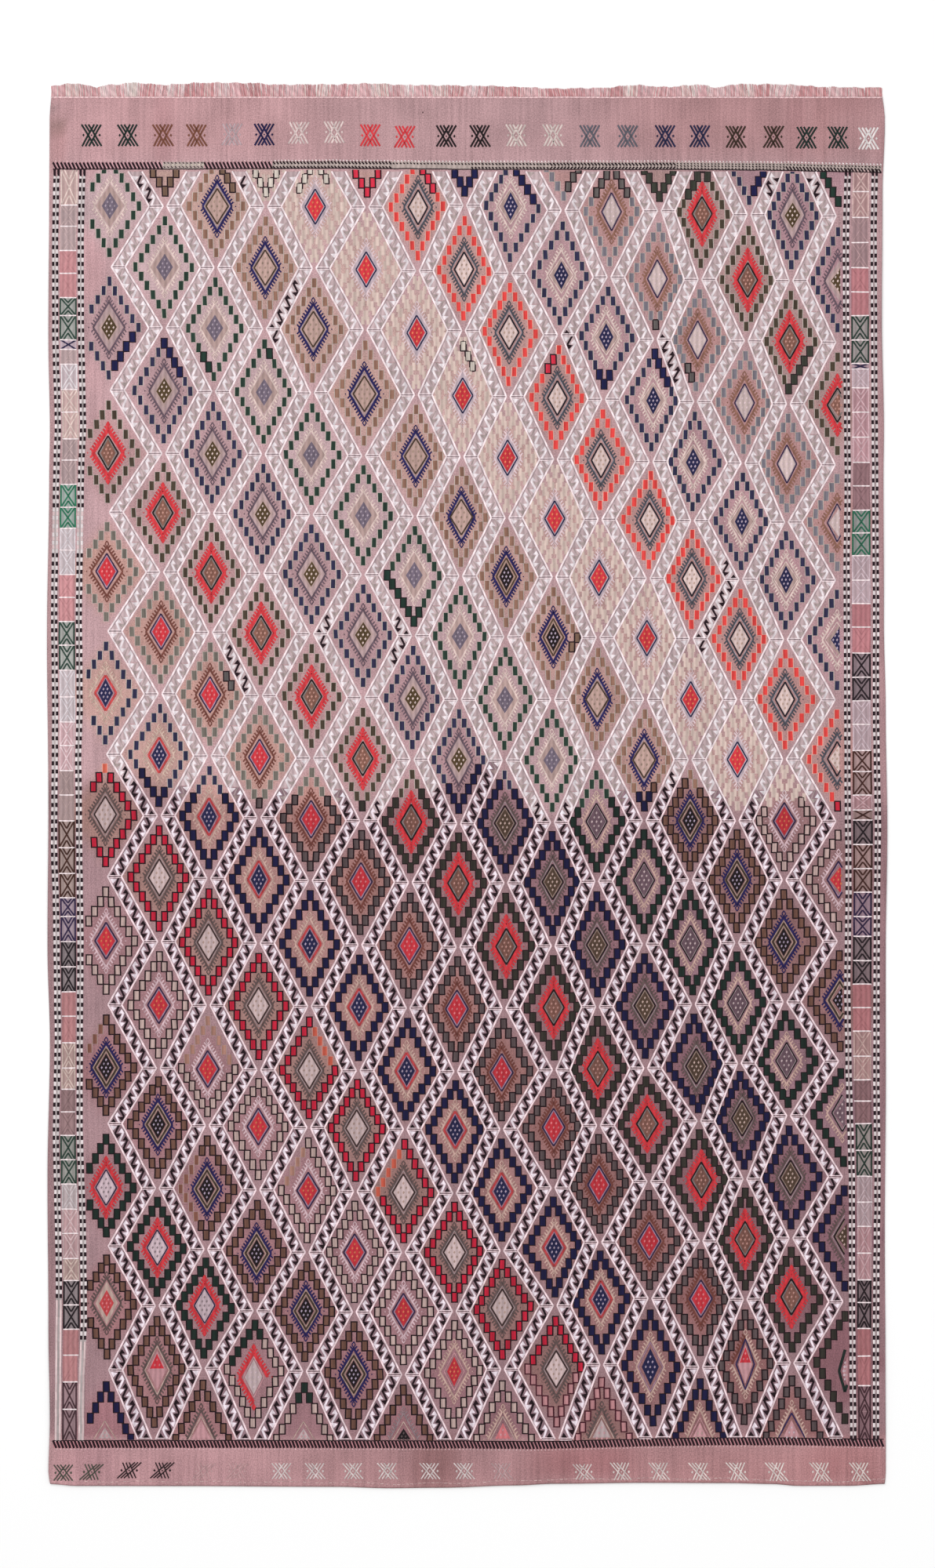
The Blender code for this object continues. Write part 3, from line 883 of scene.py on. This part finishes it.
RIGHT_OUTER = (
    (217, 1114.8), (305, 1113.4), (425, 1114.0), (665, 1115.7), (785, 1116.6), (905, 1116.3),
    (1055, 1119.1), (1145, 1117.7), (1265, 1117.2), (1385, 1117.0), (1505, 1118.5), (1625, 1117.1),
    (1745, 1116.2), (1836, 1116.6),
)
BOX_LOOKS = dict(  # filling, figure, and how wide the figure's yarn is in millimetres
    cream=("#BC9F9B", "#DCC7BE", 3.2), lilac=("#AC9696", "#BDA5A3", 2.4),
    salmon=("#C58D8F", "#C0878A", 2.4), green=("#A3A39E", "#32483E", 4.2),
    navy=("#B6A3AA", "#2B2647", 4.2), white=("#B7A7AA", "#E0D9DA", 3.0),
    teal=("#9BA69F", "#2F7357", 4.2), pale=("#BFB1B3", "#D9D0D3", 2.8),
    pink=("#C2A0A3", "#DFC6C8", 3.0), brown=("#AE9A95", "#4C3029", 4.2),
    purple=("#B09DA9", "#382C4F", 4.2), charcoal=("#8F8487", "#2B2328", 4.4),
    taupe=("#A38587", "#917577", 2.2), dusk=("#A68A90", "#523940", 4.0),
)
LEFT_BOXES = (  # looks from the top down, each with where its boxes end, in pixels
    ("cream", 262), ("lilac", 289, 320), ("salmon", 349, 380), ("green", 403, 434), ("navy", 446),
    ("lilac", 465), ("white", 497), ("cream", 526, 560), ("lilac", 587, 618), ("teal", 647, 674),
    ("pale", 702, 733), ("salmon", 762, 793), ("green", 823, 855), ("pale", 889, 921),
    ("pink", 951, 983), ("lilac", 1014, 1047), ("brown", 1081, 1114, 1145), ("purple", 1169, 1201),
    ("charcoal", 1233, 1265), ("salmon", 1296, 1330), ("cream", 1362, 1389), ("taupe", 1418, 1448),
    ("green", 1479, 1510), ("pale", 1542), ("pink", 1573, 1605), ("cream", 1633),
    ("charcoal", 1664, 1695), ("salmon", 1728, 1762), ("dusk", 1797, 1836),
)
RIGHT_BOXES = (
    ("cream", 245, 278), ("lilac", 310, 342), ("salmon", 373, 403), ("green", 434, 464),
    ("navy", 471), ("pale", 495), ("pink", 526, 558, 590), ("taupe", 620, 651), ("teal", 680, 709),
    ("pale", 740, 770), ("salmon", 800, 833), ("charcoal", 864, 894), ("pale", 924, 957),
    ("brown", 984, 1014), ("pink", 1033), ("brown", 1046), ("charcoal", 1077),
    ("brown", 1108, 1138), ("purple", 1169, 1194), ("charcoal", 1225, 1255), ("salmon", 1285, 1315),
    ("cream", 1347, 1377), ("taupe", 1404, 1433), ("green", 1467, 1500), ("pale", 1533, 1564),
    ("pink", 1598, 1632), ("charcoal", 1661, 1694), ("salmon", 1729, 1767), ("dusk", 1800, 1836),
)
BOX_FIGURE = (  # strokes of a boxed star, in shares of the box from its middle
    ((-0.47, 0.5), (0.47, -0.5)), ((0.47, 0.5), (-0.47, -0.5)), ((-0.27, 0.5), (0.0, 0.22)),
    ((0.27, 0.5), (0.0, 0.22)), ((-0.27, -0.5), (0.0, -0.22)), ((0.27, -0.5), (0.0, -0.22)),
    ((-0.46, 0.5), (-0.46, -0.5)), ((0.46, 0.5), (0.46, -0.5)),
)
FULL_FIGURE_FROM = 26  # millimetres tall; a lower box has only the crossing
BORDER_FROM, BORDER_TO = 217, 1836
UNLINED_BOX = 1800


def dashes_at(table, py):
    """Pixel across of the two lines of dashes of a guard, at a height in the photograph."""
    return chart(table, py) + np.array((-1, 1)) * GUARD_GAP / 2


for table, white_run, pale_below in (
    (LEFT_OUTER, WHITE_RUN, PALE_BELOW[0]),
    (LEFT_INNER, WHITE_RUN, PALE_BELOW[1]),
    (RIGHT_INNER, (0, 0), BORDER_TO),
    (RIGHT_OUTER, (0, 0), BORDER_TO),
):
    for px in dashes_at(table, BORDER_FROM + 4):
        block("guard_black", at(px, BORDER_FROM + 4), DASH_SIZE[0], FIRST_DASH, 0.9, BLACK)
    py = BORDER_FROM + 14.0
    while py < BORDER_TO:
        for side in (0, 1):
            x, y = at(dashes_at(table, py)[side], py)
            if py > pale_below:
                ends = [at(dashes_at(table, py + step)[side], py + step) for step in (-5.4, 5.4)]
                run("guard_white", *ends, PALE_LINE_WIDTH, 0.8, PALE_LINE, everywhere=True)
                continue
            gap = (DASH_SIZE[0], DASH_PITCH - DASH_SIZE[1] + 0.4)
            block("guard_white", (x, y + DASH_PITCH / 2), *gap, 0.8, GUARD_WHITE, kind=FLOAT)
            if white_run[0] < py < white_run[1]:
                block("guard_white", (x, y), *DASH_SIZE, 0.7, PALE_LINE, kind=FLOAT)
            else:
                block("guard_black", (x, y), *DASH_SIZE, 0.9, BLACK)
        middle = at(sum(dashes_at(table, py)) / 2, py)
        block("guard_ground", middle, GUARD_WIDTH, DASH_PITCH + 0.4, 0.3, GUARD_GROUND)
        py += DASH_PITCH / PIXEL
for guards, inset, boxes in (
    ((LEFT_OUTER, LEFT_INNER), CELL_INSETS[0], LEFT_BOXES),
    ((RIGHT_INNER, RIGHT_OUTER), CELL_INSETS[1], RIGHT_BOXES),
):
    top = BORDER_FROM
    for look, bottom in ((look, bottom) for look, *bottoms in boxes for bottom in bottoms):
        filling, figure, width = BOX_LOOKS[look]
        left = dashes_at(guards[0], (top + bottom) / 2)[1] + inset
        right = dashes_at(guards[1], (top + bottom) / 2)[0] - inset
        middle = at((left + right) / 2, (top + bottom) / 2)
        size = ((right - left) * PIXEL, (bottom - top) * PIXEL)
        block("box_fillings", middle, *size, 0.35, filling)
        for stroke in BOX_FIGURE if size[1] > FULL_FIGURE_FROM else BOX_FIGURE[:2]:
            ends = [middle + np.multiply(share, size) for share in stroke]
            run("box_figures", *ends, width, 0.7, figure, everywhere=True)
        edge = [middle + np.multiply((side, -1), size) / 2 for side in (-1, 1)]
        if bottom not in (UNLINED_BOX, BORDER_TO):
            run("cell_lines", *edge, 3.2, 0.9, OUTLINE_DYE, everywhere=True)
        top = bottom

# ---------------------------------------------------------------- end borders
# A line of slanting black stitches closes the field at each end. At the foot it is even; at the
# top it changes, from the left, from one slanting row to finer dotted rows and a herringbone.
LEFT_PITCH, LEFT_TO = 7.9, 348  # the strokes stand wider apart at the left of the top
STROKE_PITCH = 7.15
FOOT_PITCH = 7.45
LINE_HEIGHT = 15.5
TOP_LINE = (
    (70, 211.8), (260, 211.5), (420, 210.5), (520, 211.3), (600, 212), (860, 212), (1000, 213.2),
    (1120, 216.3),
)
TOP_LINE_ENDS = (70, 1122)
FOOT_LINE = (
    (68, 1841.6), (330, 1841.5), (600, 1842.2), (680, 1843), (800, 1840), (900, 1838), (1000, 1838),
    (1123, 1840),
)
FOOT_LINE_ENDS = (68, 1123)
LINE_GROUND, SLANT_GROUND, FOOT_GROUND = "#B3A29D", "#C3979D", "#B57F85"
WHITE, PALE = "#EBE3E2", "#DDC0C2"
SLANTING_ROW = ((BLACK, 0.0, 6.6, -13.6, 4.9), (PALE, 9.6, 2.0, -1.6, 2.0))
TOP_STITCHES = (  # to here across, the ground, and each stitch's dye, height, slant and width
    (205, SLANT_GROUND, *SLANTING_ROW),
    (
        262, LINE_GROUND, (BLACK, 5.4, 2.6, -2.2, 2.6), ("#D3CBB9", 1.4, 2.4, -2.6, 2.2),
        (BLACK, -3.2, 3.2, -3.0, 2.4), (PALE, 9.4, 2.0, -1.6, 2.2),
    ),
    (348, SLANT_GROUND, *SLANTING_ROW),
    (
        500, LINE_GROUND, (BLACK, 4.6, 4.2, -5.6, 3.9), (BLACK, -4.6, 4.2, -4.4, 3.6),
        (WHITE, 9.6, 2.2, -2.0, 2.2),
    ),
    (600, LINE_GROUND, (BLACK, 3.8, 3.0, -2.8, 3.2), (WHITE, 9.0, 2.6, -2.0, 2.5)),
    (
        700, LINE_GROUND, (BLACK, 4.0, 3.4, -3.4, 3.6), (BLACK, -4.0, 3.4, -3.4, 3.6),
        (WHITE, 9.6, 2.4, -2.0, 2.5),
    ),
    (
        860, LINE_GROUND, (BLACK, 3.6, 5.0, -5.8, 3.8), (BLACK, -4.4, -4.8, -5.8, 3.7),
        (WHITE, 10.2, 2.4, -2.0, 2.4),
    ),
    (
        1000, LINE_GROUND, (BLACK, 4.6, 2.6, -2.2, 2.9), (BLACK, -0.2, 3.2, -2.6, 2.9),
        (BLACK, -4.8, 2.8, -2.2, 2.7), (WHITE, 9.6, 2.4, -2.0, 2.5),
    ),
    (
        1122, LINE_GROUND, (BLACK, 4.6, 2.8, -2.4, 2.9), (BLACK, -3.0, 5.2, -8.0, 3.9),
        (WHITE, 10.0, 2.6, -2.0, 2.7),
    ),
)


def slant(piece, middle, reach, width, top, colour):
    """One slanting stitch through a point."""
    half = np.array(reach) / 2
    run(piece, middle - half, middle + half, width, top, colour, everywhere=True)


px = TOP_LINE_ENDS[0]
while px < TOP_LINE_ENDS[1]:
    x, y = at(px, chart(TOP_LINE, px))
    _, ground, *stitches = next(zone for zone in TOP_STITCHES if px < zone[0])
    pitch = LEFT_PITCH if px < LEFT_TO else STROKE_PITCH
    block("end_line_ground", (x, y), pitch + 0.3, LINE_HEIGHT, 0.3, ground)
    for dye, up, *reach, width in stitches:
        piece, aside = ("end_line_black", 0) if dye == BLACK else ("end_line_white", 2.4)
        slant(piece, (x + aside, y + up), reach, width, 0.9, dye)
    slant("end_line_black", (x, y - 7.2), (pitch, -0.6), 2.4, 0.8, BLACK)
    px += pitch / PIXEL
px = FOOT_LINE_ENDS[0]
while px < FOOT_LINE_ENDS[1]:
    x, y = at(px + 2, chart(FOOT_LINE, px))
    block("end_line_ground", (x, y), FOOT_PITCH + 0.3, LINE_HEIGHT, 0.3, FOOT_GROUND)
    slant("end_line_black", (x, y), (6.2, -15.4), 5.2, 0.9, BLACK)
    slant("end_line_white", (x + 4.5, y - 10.4), (2.2, -1.4), 1.8, 0.6, PALE)
    slant("end_line_black", (x, y + 7.4), (FOOT_PITCH, 0.4), 2.2, 0.8, BLACK)
    px += FOOT_PITCH / PIXEL

# ---------------------------------------------------------------- star figures of the ends
# Across each plain end stands a row of small stars, a crossing of three strokes an arm round an
# eye. The row at the foot was beaten down hard, so its stars are lower and lean over.
STAR_STROKES = (  # one arm's strokes, in shares of half the star; the last crosses to the far side
    ((-1.0, -1.0), (-0.35, 0.0)), ((-0.64, -1.0), (-0.18, -0.28)), ((-0.29, -1.0), (0.35, 0.0)),
)
STAR_STROKE_WIDTHS = (4.2, 2.9)  # at the top, and at the foot
TOP_STARS = (
    (117, 173, "#1C2A27"), (163, 173, "#1C2A27"), (208, 173, "#76493A"), (251, 173, "#76493A"),
    (296, 172, "#B19A9F"), (337, 172, "#211C46"), (381, 170, "#D2BDBB"), (426, 169, "#D5C1BE"),
    (472, 173, "#CF3B42"), (516, 175, "#CF3B42"), (569, 174, "#231A1D"), (612, 174, "#231A1D"),
    (658, 173, "#CDBDB8"), (705, 173, "#CDBDB8"), (752, 174, "#5E5C66"), (800, 174, "#5E5C66"),
    (848, 174, "#262545"), (892, 174, "#262545"), (938, 175, "#3B2C25"), (986, 175, "#3B2C25"),
    (1028, 176, "#202D2A"), (1068, 176, "#202D2A"), (1107, 177, "#E2D9D8"),
)
FOOT_STARS = (
    (81, 1878, "#4A4B42", 0.0), (117, 1877, "#4A4B42", 0.35), (165, 1875, "#2A1C20", 0.35),
    (207, 1875, "#2A1C20", 0.35), (260, 1876, "#BB9698", 0.3), (302, 1876, "#BB9698", 0.2),
    (359, 1876, "#CDBFBE", 0.0), (402, 1876, "#CDBFBE", -0.1), (450, 1876, "#CFC2C0", -0.1),
    (494, 1876, "#CFC2C0", -0.1), (548, 1876, "#CDBFBE", -0.1), (592, 1876, "#CDBFBE", -0.15),
    (640, 1876, "#B6999B", -0.15), (744, 1877, "#CDBDBB", -0.2), (792, 1877, "#D2C4C1", -0.2),
    (841, 1877, "#D2C4C1", -0.2), (892, 1877, "#D8CBC7", -0.2), (940, 1877, "#D8CBC7", -0.25),
    (990, 1877, "#D8CBC7", -0.25), (1046, 1877, "#D4C6C2", -0.2), (1096, 1877, "#D4C6C2", -0.15),
)
TOP_STAR_HALF = (20.3, 22.5)
FOOT_STAR_HALF = (19.5, 16.4)
TALL_FROM, TALL_STAR_HALF = 780, (19.5, 19.2)  # where the stars at the foot are less beaten down
STRAY_STITCH = (539, 144)
TOP_STAR_LEAN = 0.05


def star(px, py, half, width, colour, lean):
    """Chart a star at a point of the photograph, leaning over by a share of its height."""
    x, y = at(px, py)
    a, b = half
    for right in (1, -1):
        for up in (1, -1):
            for stroke in STAR_STROKES:
                ends = [
                    (x + u * right * a + lean * (v * up) * b, y + v * up * b) for u, v in stroke
                ]
                run("end_stars", *ends, width, 0.9, colour, everywhere=True)
        patch("end_stars", BLOCK, (x + 0.82 * right * a, y), (2.6, -3.3), (2.6, 3.3), 0.8, colour)
    patch("end_stars", BLOCK, (x, y), (1.8, -2.0), (1.8, 2.0), 0.9, colour)


for px, py, colour in TOP_STARS:
    star(px, py, TOP_STAR_HALF, STAR_STROKE_WIDTHS[0], colour, dice.uniform(-TOP_STAR_LEAN, TOP_STAR_LEAN))
for px, py, colour, lean in FOOT_STARS:
    half = TALL_STAR_HALF if px > TALL_FROM else FOOT_STAR_HALF
    star(px, py, half, STAR_STROKE_WIDTHS[1], colour, lean)
block("end_stars", at(*STRAY_STITCH), 2.6, 3.4, 0.6, "#4A3438", kind=FLOAT)

# ---------------------------------------------------------------- hem stitches and twined row
# A running stitch in pale yarn holds the rolled hem along the foot. At the top a row of paired
# yarns twined round the warps locks the weave, and reads as short slanting stitches.
HEM_STITCH_PITCH = 9.0
HEM_STITCH_SLANT = 1.4
HEM_STITCH_UP = 0.0095
TWINE_PITCH = 3.1
TWINE_UP = 2.9082
HEM_STITCH_DYES = ("#C7A6A6", "#B89496", "#CDB1AF")
TWINE_DYES = ("#EDCBCD", "#E6C2C5", "#E9C6C8")

for i in range(int(RUG_WIDTH * 1000 / HEM_STITCH_PITCH)):
    share = (i + 0.5) * HEM_STITCH_PITCH / 1000 / RUG_WIDTH
    up = between(HEM_EDGE, share * RUG_WIDTH) + HEM_STITCH_UP + 0.0012 * math.sin(i * 0.37)
    place = (side_to_side(share, up) * 1000, (up - RUG_LENGTH / 2) * 1000)
    reach = (7.0, dice.uniform(-HEM_STITCH_SLANT, HEM_STITCH_SLANT))
    slant("hem_stitches", place, reach, 1.7, 0.6, HEM_STITCH_DYES[i % 3])
for i in range(int(RUG_WIDTH * 1000 / TWINE_PITCH)):
    share = (i + 0.5) * TWINE_PITCH / 1000 / RUG_WIDTH
    place = (side_to_side(share, TWINE_UP) * 1000, (TWINE_UP - RUG_LENGTH / 2) * 1000)
    slant("twined_row", place, (3.4, 1.8), 2.6, 0.9, TWINE_DYES[i % 3])

# ---------------------------------------------------------------- weaving the pattern in
# Geometry Nodes lay each charted stitch on the cloth: a stitch shape at each charted place, given
# a little of the unevenness of handwork, and each group of like stitches becomes one piece.
HAND_WOBBLE = 0.0011
WOBBLE_SIZE = 0.030


def new_tree(name, inputs):
    """A Geometry Nodes tree with named inputs, and the sockets that they come out of."""
    tree = bpy.data.node_groups.new(name, "GeometryNodeTree")
    ends = {"INPUT": {"Geometry": "Geometry", **inputs, "Yarn": "Material"}}
    ends["OUTPUT"] = {"Geometry": "Geometry"}
    for end, sockets in ends.items():
        for label, kind in sockets.items():
            tree.interface.new_socket(label, in_out=end, socket_type="NodeSocket" + kind)
    return tree, put(tree, "NodeGroupInput").outputs


def made_by_hand(tree, given, instances, scale, detail, reach, amount):
    """Make instances real, and shift them unevenly by noise, as handwork does."""
    real = put(tree, "GeometryNodeRealizeInstances", {"Geometry": instances})
    noise = {"W": given["Seed"], "Scale": scale, "Detail": detail}
    uneven = put(tree, "ShaderNodeTexNoise", noise, noise_dimensions="4D").outputs["Color"]
    for operation, inputs in (
        ("SUBTRACT", {1: (0.5, 0.5, 0.5)}),
        ("MULTIPLY", {1: reach}),
        ("SCALE", {"Scale": given[amount]}),
    ):
        uneven = put(tree, "ShaderNodeVectorMath", {0: uneven, **inputs}, operation=operation)
    return put(tree, "GeometryNodeSetPosition", {"Geometry": real, "Offset": uneven})


def end_tree(tree, given, geometry):
    """End a tree with the yarn's material set."""
    dyed = put(tree, "GeometryNodeSetMaterial", {"Geometry": geometry, "Material": given["Yarn"]})
    put(tree, "NodeGroupOutput", {"Geometry": dyed})


weaving, given = new_tree(
    "laid_stitches",
    {"Stitch Shapes": "Collection", "Wobble": "Float", "Wobble Size": "Float", "Seed": "Float"},
)
shapes = put(
    weaving,
    "GeometryNodeCollectionInfo",
    {"Collection": given["Stitch Shapes"], "Separate Children": True, "Reset Children": True},
)
kind_of = put(weaving, "GeometryNodeInputNamedAttribute", {"Name": "kind"}, data_type="INT")
place_of = put(weaving, "GeometryNodeInputNamedAttribute", {"Name": "place"}, data_type="FLOAT4X4")
laid = put(
    weaving,
    "GeometryNodeInstanceOnPoints",
    {"Points": given["Geometry"], "Instance": shapes, "Pick Instance": True, "Instance Index": kind_of},
)
placed = put(
    weaving, "GeometryNodeSetInstanceTransform", {"Instances": laid, "Transform": place_of}
)
scale = put(weaving, "ShaderNodeMath", {0: 1.0, 1: given["Wobble Size"]}, operation="DIVIDE")
wobbled = made_by_hand(weaving, given, placed, scale, 1.0, (2.0, 2.0, 0.0), "Wobble")
end_tree(weaving, given, wobbled)


def yarn_material(name, roughness, cord, shades, grain_scale, strength, depth):
    """Dyed yarn: cords side by side (spacing, direction, distortion, detail) under a fine grain; the
    colour follows the relief, painted darker in the grooves as shade and lighter on the crowns.
    """
    material, tree, shader = new_material(name, roughness)
    spacing, direction, distortion, detail = cord
    where = put(tree, "ShaderNodeTexCoord").outputs["Object"]
    cords = put(
        tree,
        "ShaderNodeTexWave",
        {"Vector": where, "Scale": 1 / (spacing * 20), "Distortion": distortion, "Detail": detail},
        bands_direction=direction,
    )
    fine_grain = put(tree, "ShaderNodeTexNoise", {"Vector": where, "Scale": grain_scale, "Detail": 3.0})
    relief_and_painted_shade = put(tree, "ShaderNodeMath", {0: cords.outputs["Fac"], 1: fine_grain}, operation="ADD")
    # the relief also sets the colour: painted shade in the grooves between cords, painted highlight on
    # their crowns
    shade_wool(tree, shader, "dye", relief_and_painted_shade, (0.2, 1.7, *shades), relief_and_painted_shade, strength, depth)
    return material, shader


def worked_out(source, tree, settings):
    """The plain mesh that a Geometry Nodes tree makes from a source mesh, with named inputs."""
    maker = bpy.data.objects.new("being_made", source)
    scene.collection.objects.link(maker)
    modifier = maker.modifiers.new("making", "NODES")
    modifier.node_group = tree
    for item in tree.interface.items_tree:
        if item.in_out == "INPUT" and item.name in settings:
            modifier[item.identifier] = settings[item.name]
    graph = bpy.context.evaluated_depsgraph_get()
    made = bpy.data.meshes.new_from_object(maker.evaluated_get(graph))
    maker.modifiers.remove(modifier)
    bpy.data.objects.remove(maker)
    return made


# Dyed, hand-spun wool floated in the weft direction of the figures: matt, with the fine cords of the yarns
# side by side, painted lighter where they stand highest and darker, as painted shade, where they lie
# deeper.
CORD_SPACING = 0.0017
pattern_wool, shader = yarn_material(
    "dyed_wool_floats", 0.88, (CORD_SPACING, "X", 2.0, 2.0), (0.74, 1.11), 160.0, 0.3, 0.0005
)
for name, stitches in sorted(charted.items()):
    source = bpy.data.meshes.new("charted_stitches")
    source.from_pydata([(0, 0, 0)] * len(stitches), [], [])
    kinds, matrices, dyes = zip(*stitches)
    mark(source, "kind", "INT", kinds)
    mark(source, "place", "FLOAT4X4", np.array(matrices, float) / 1000)
    mark(source, "dye", "FLOAT_COLOR", dyes)
    making = {"Stitch Shapes": stitch_shapes, "Wobble": HAND_WOBBLE, "Wobble Size": WOBBLE_SIZE}
    woven = worked_out(source, weaving, {**making, "Seed": 0.0, "Yarn": pattern_wool})
    woven.name = name
    corners = np.empty(len(woven.vertices) * 3)
    woven.vertices.foreach_get("co", corners)
    corners = corners.reshape(-1, 3)
    corners[:, 2] += CLOTH_THICKNESS + lift(corners[:, 0], corners[:, 1])
    woven.vertices.foreach_set("co", corners.ravel())
    woven.update()
    for spare in ("kind", "place"):
        if spare in woven.attributes:
            woven.attributes.remove(woven.attributes[spare])
    finished(name, woven)
for shape in list(stitch_shapes.objects):
    bpy.data.objects.remove(shape)
bpy.data.collections.remove(stitch_shapes)

# ---------------------------------------------------------------- twined edge and fringe
# At the top the warps are closed by a twined row of pale wool and left as a short soft fringe of
# plied ends, combed out and uneven, that lie on the floor.
STRAND_SPACING = 0.00155
STRAND_RADIUS = 0.00093
STRAND_START = 2.9085
STRAND_STRAY = 0.003
FRINGE_LIMIT = 2.9418
FRINGE_HEIGHT = 0.0010
FRINGE_SEED = 5
TUFT_WIDTH = 0.031
TIP_HEIGHTS = in_metres(  # across from the left, and short of the longest
    (0, 8), (55, 3), (95, 11), (130, 6), (175, 2), (230, 6), (325, 2), (420, 2), (480, 6), (600, 5),
    (680, 3.5), (760, 7), (900, 8), (990, 11), (1060, 14), (1160, 13), (1230, 7), (1300, 11),
    (1370, 6), (1410, 12), (1450, 5), (1540, 5.5), (1640, 11), (1700, 12), (1756, 12),
)
STRAND_DYES = ("#DFBBBD", "#DCB1B4", "#E5C9CA", "#D4A5A9", "#CF9597", "#E0CEC9", "#C78C8F")
fringe_dice = random.Random(FRINGE_SEED)
starts, reaches, leans, dyes = [], [], [], []
count = int(RUG_WIDTH / STRAND_SPACING)
for i in range(count):
    share = (i + 0.5) / count
    along = share * RUG_WIDTH
    reach = FRINGE_LIMIT - STRAND_START - between(TIP_HEIGHTS, along) - fringe_dice.uniform(0, 0.0013)
    reach -= 0.0008 * math.sin(along * 140.0) + 0.0006 * math.sin(along * 260.0 + 2.0)
    lean = 0.13 * math.sin(along * 19.0) + 0.07 * math.sin(along * 47.0 + 1.0)
    lean += fringe_dice.gauss(0, 0.03)
    tuft = int(along / TUFT_WIDTH)
    pick = tuft * 5 + tuft // 3 if i % 2 else fringe_dice.randrange(len(STRAND_DYES))
    dye = linear(STRAND_DYES[pick % len(STRAND_DYES)])
    tone = fringe_dice.uniform(0.85, 1.1)
    height = FRINGE_HEIGHT + fringe_dice.uniform(-0.0001, 0.0006)
    starts.append((side_to_side(share, WEAVE_END), STRAND_START - RUG_LENGTH / 2, height))
    reaches.append(reach)
    leans.append(lean if 0.02 < share < 0.98 else 0.3 * lean)
    dyes.append([c * tone for c in dye[:3]] + [1.0])
combing, given = new_tree(
    "combed_strands", {"Strand Radius": "Float", "Stray": "Float", "Seed": "Float"}
)
reach_of = put(combing, "GeometryNodeInputNamedAttribute", {"Name": "reach"}, data_type="FLOAT")
lean_of = put(combing, "GeometryNodeInputNamedAttribute", {"Name": "lean"}, data_type="FLOAT")
strand = put(combing, "GeometryNodeCurvePrimitiveLine", {"Start": (0, 0, 0), "End": (0, 1, 0)})
strand = put(combing, "GeometryNodeResampleCurve", {"Curve": strand, "Count": 7})
turned = put(combing, "ShaderNodeCombineXYZ", {"Z": lean_of})
stretched = put(combing, "ShaderNodeCombineXYZ", {"X": 1.0, "Y": reach_of, "Z": 1.0})
set_out = put(
    combing,
    "GeometryNodeInstanceOnPoints",
    {"Points": given["Geometry"], "Instance": strand, "Rotation": turned, "Scale": stretched},
)
combed = made_by_hand(combing, given, set_out, 70.0, 2.0, (1.0, 0.25, 0.2), "Stray")
round_yarn = put(
    combing, "GeometryNodeCurvePrimitiveCircle", {"Resolution": 5, "Radius": given["Strand Radius"]}
)
spun = put(
    combing,
    "GeometryNodeCurveToMesh",
    {"Curve": combed, "Profile Curve": round_yarn, "Fill Caps": True},
)
end_tree(combing, given, spun)

# Plied wool warp ends, undyed and tinted by the faded ground: matt and a little fuzzy, with the
# slanting turns of the ply, which are about 1.5 mm apart, painted darker in the grooves between them as
# shade and lighter on their crowns.
PLY_SPACING = 0.0015
warp_wool, shader = yarn_material(
    "plied_wool_warp_ends", 0.9, (PLY_SPACING, "DIAGONAL", 1.0, 1.0), (0.80, 1.07), 300.0, 0.4, 0.0004
)
shader.inputs["Sheen Weight"].default_value = 0.15
source = bpy.data.meshes.new("strand_starts")
source.from_pydata(starts, [], [])
mark(source, "reach", "FLOAT", reaches)
mark(source, "lean", "FLOAT", leans)
mark(source, "dye", "FLOAT_COLOR", dyes)
combing_settings = {"Strand Radius": STRAND_RADIUS, "Stray": STRAND_STRAY, "Seed": 3.0}
fringe_mesh = worked_out(source, combing, {**combing_settings, "Yarn": warp_wool})
fringe_mesh.name = "fringe"
fringe = finished("fringe", fringe_mesh)
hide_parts("fringe_top")

# ---------------------------------------------------------------- floor and light
# A plain near-white floor and two broad soft lamps overhead, so the wool is lit evenly.
floor_mesh = bpy.data.meshes.new("floor")
floor_mesh.from_pydata([(-30, -30, 0), (30, -30, 0), (30, 30, 0), (-30, 30, 0)], [], [(0, 1, 2, 3)])
floor = bpy.data.objects.new("floor", floor_mesh)
scene.collection.objects.link(floor)
matt_floor, tree, shader = new_material("matt_white_floor", 0.9)
shader.inputs["Base Color"].default_value = linear("#FAFAFA")
floor_mesh.materials.append(matt_floor)

world = bpy.data.worlds.new("studio")
world.use_nodes = True
backdrop = next(n for n in world.node_tree.nodes if n.type == "BACKGROUND")
backdrop.inputs["Color"].default_value = (1.0, 1.0, 1.0, 1.0)
backdrop.inputs["Strength"].default_value = 0.675
scene.world = world
for name, place, power, size in (
    ("key_lamp", (-2.6, 2.2, 5.0), 144.0, 3.5),
    ("fill_lamp", (3.0, -2.0, 5.5), 81.0, 4.5),
):
    lamp = bpy.data.lights.new(name, "AREA")
    lamp.energy, lamp.size = power, size
    holder = bpy.data.objects.new(name, lamp)
    holder.location = place
    x, y, z = place
    holder.rotation_euler = (math.atan2(math.hypot(x, y), z), 0, math.atan2(-x, y) + math.pi)
    scene.collection.objects.link(holder)
scene.view_settings.view_transform = "Standard"
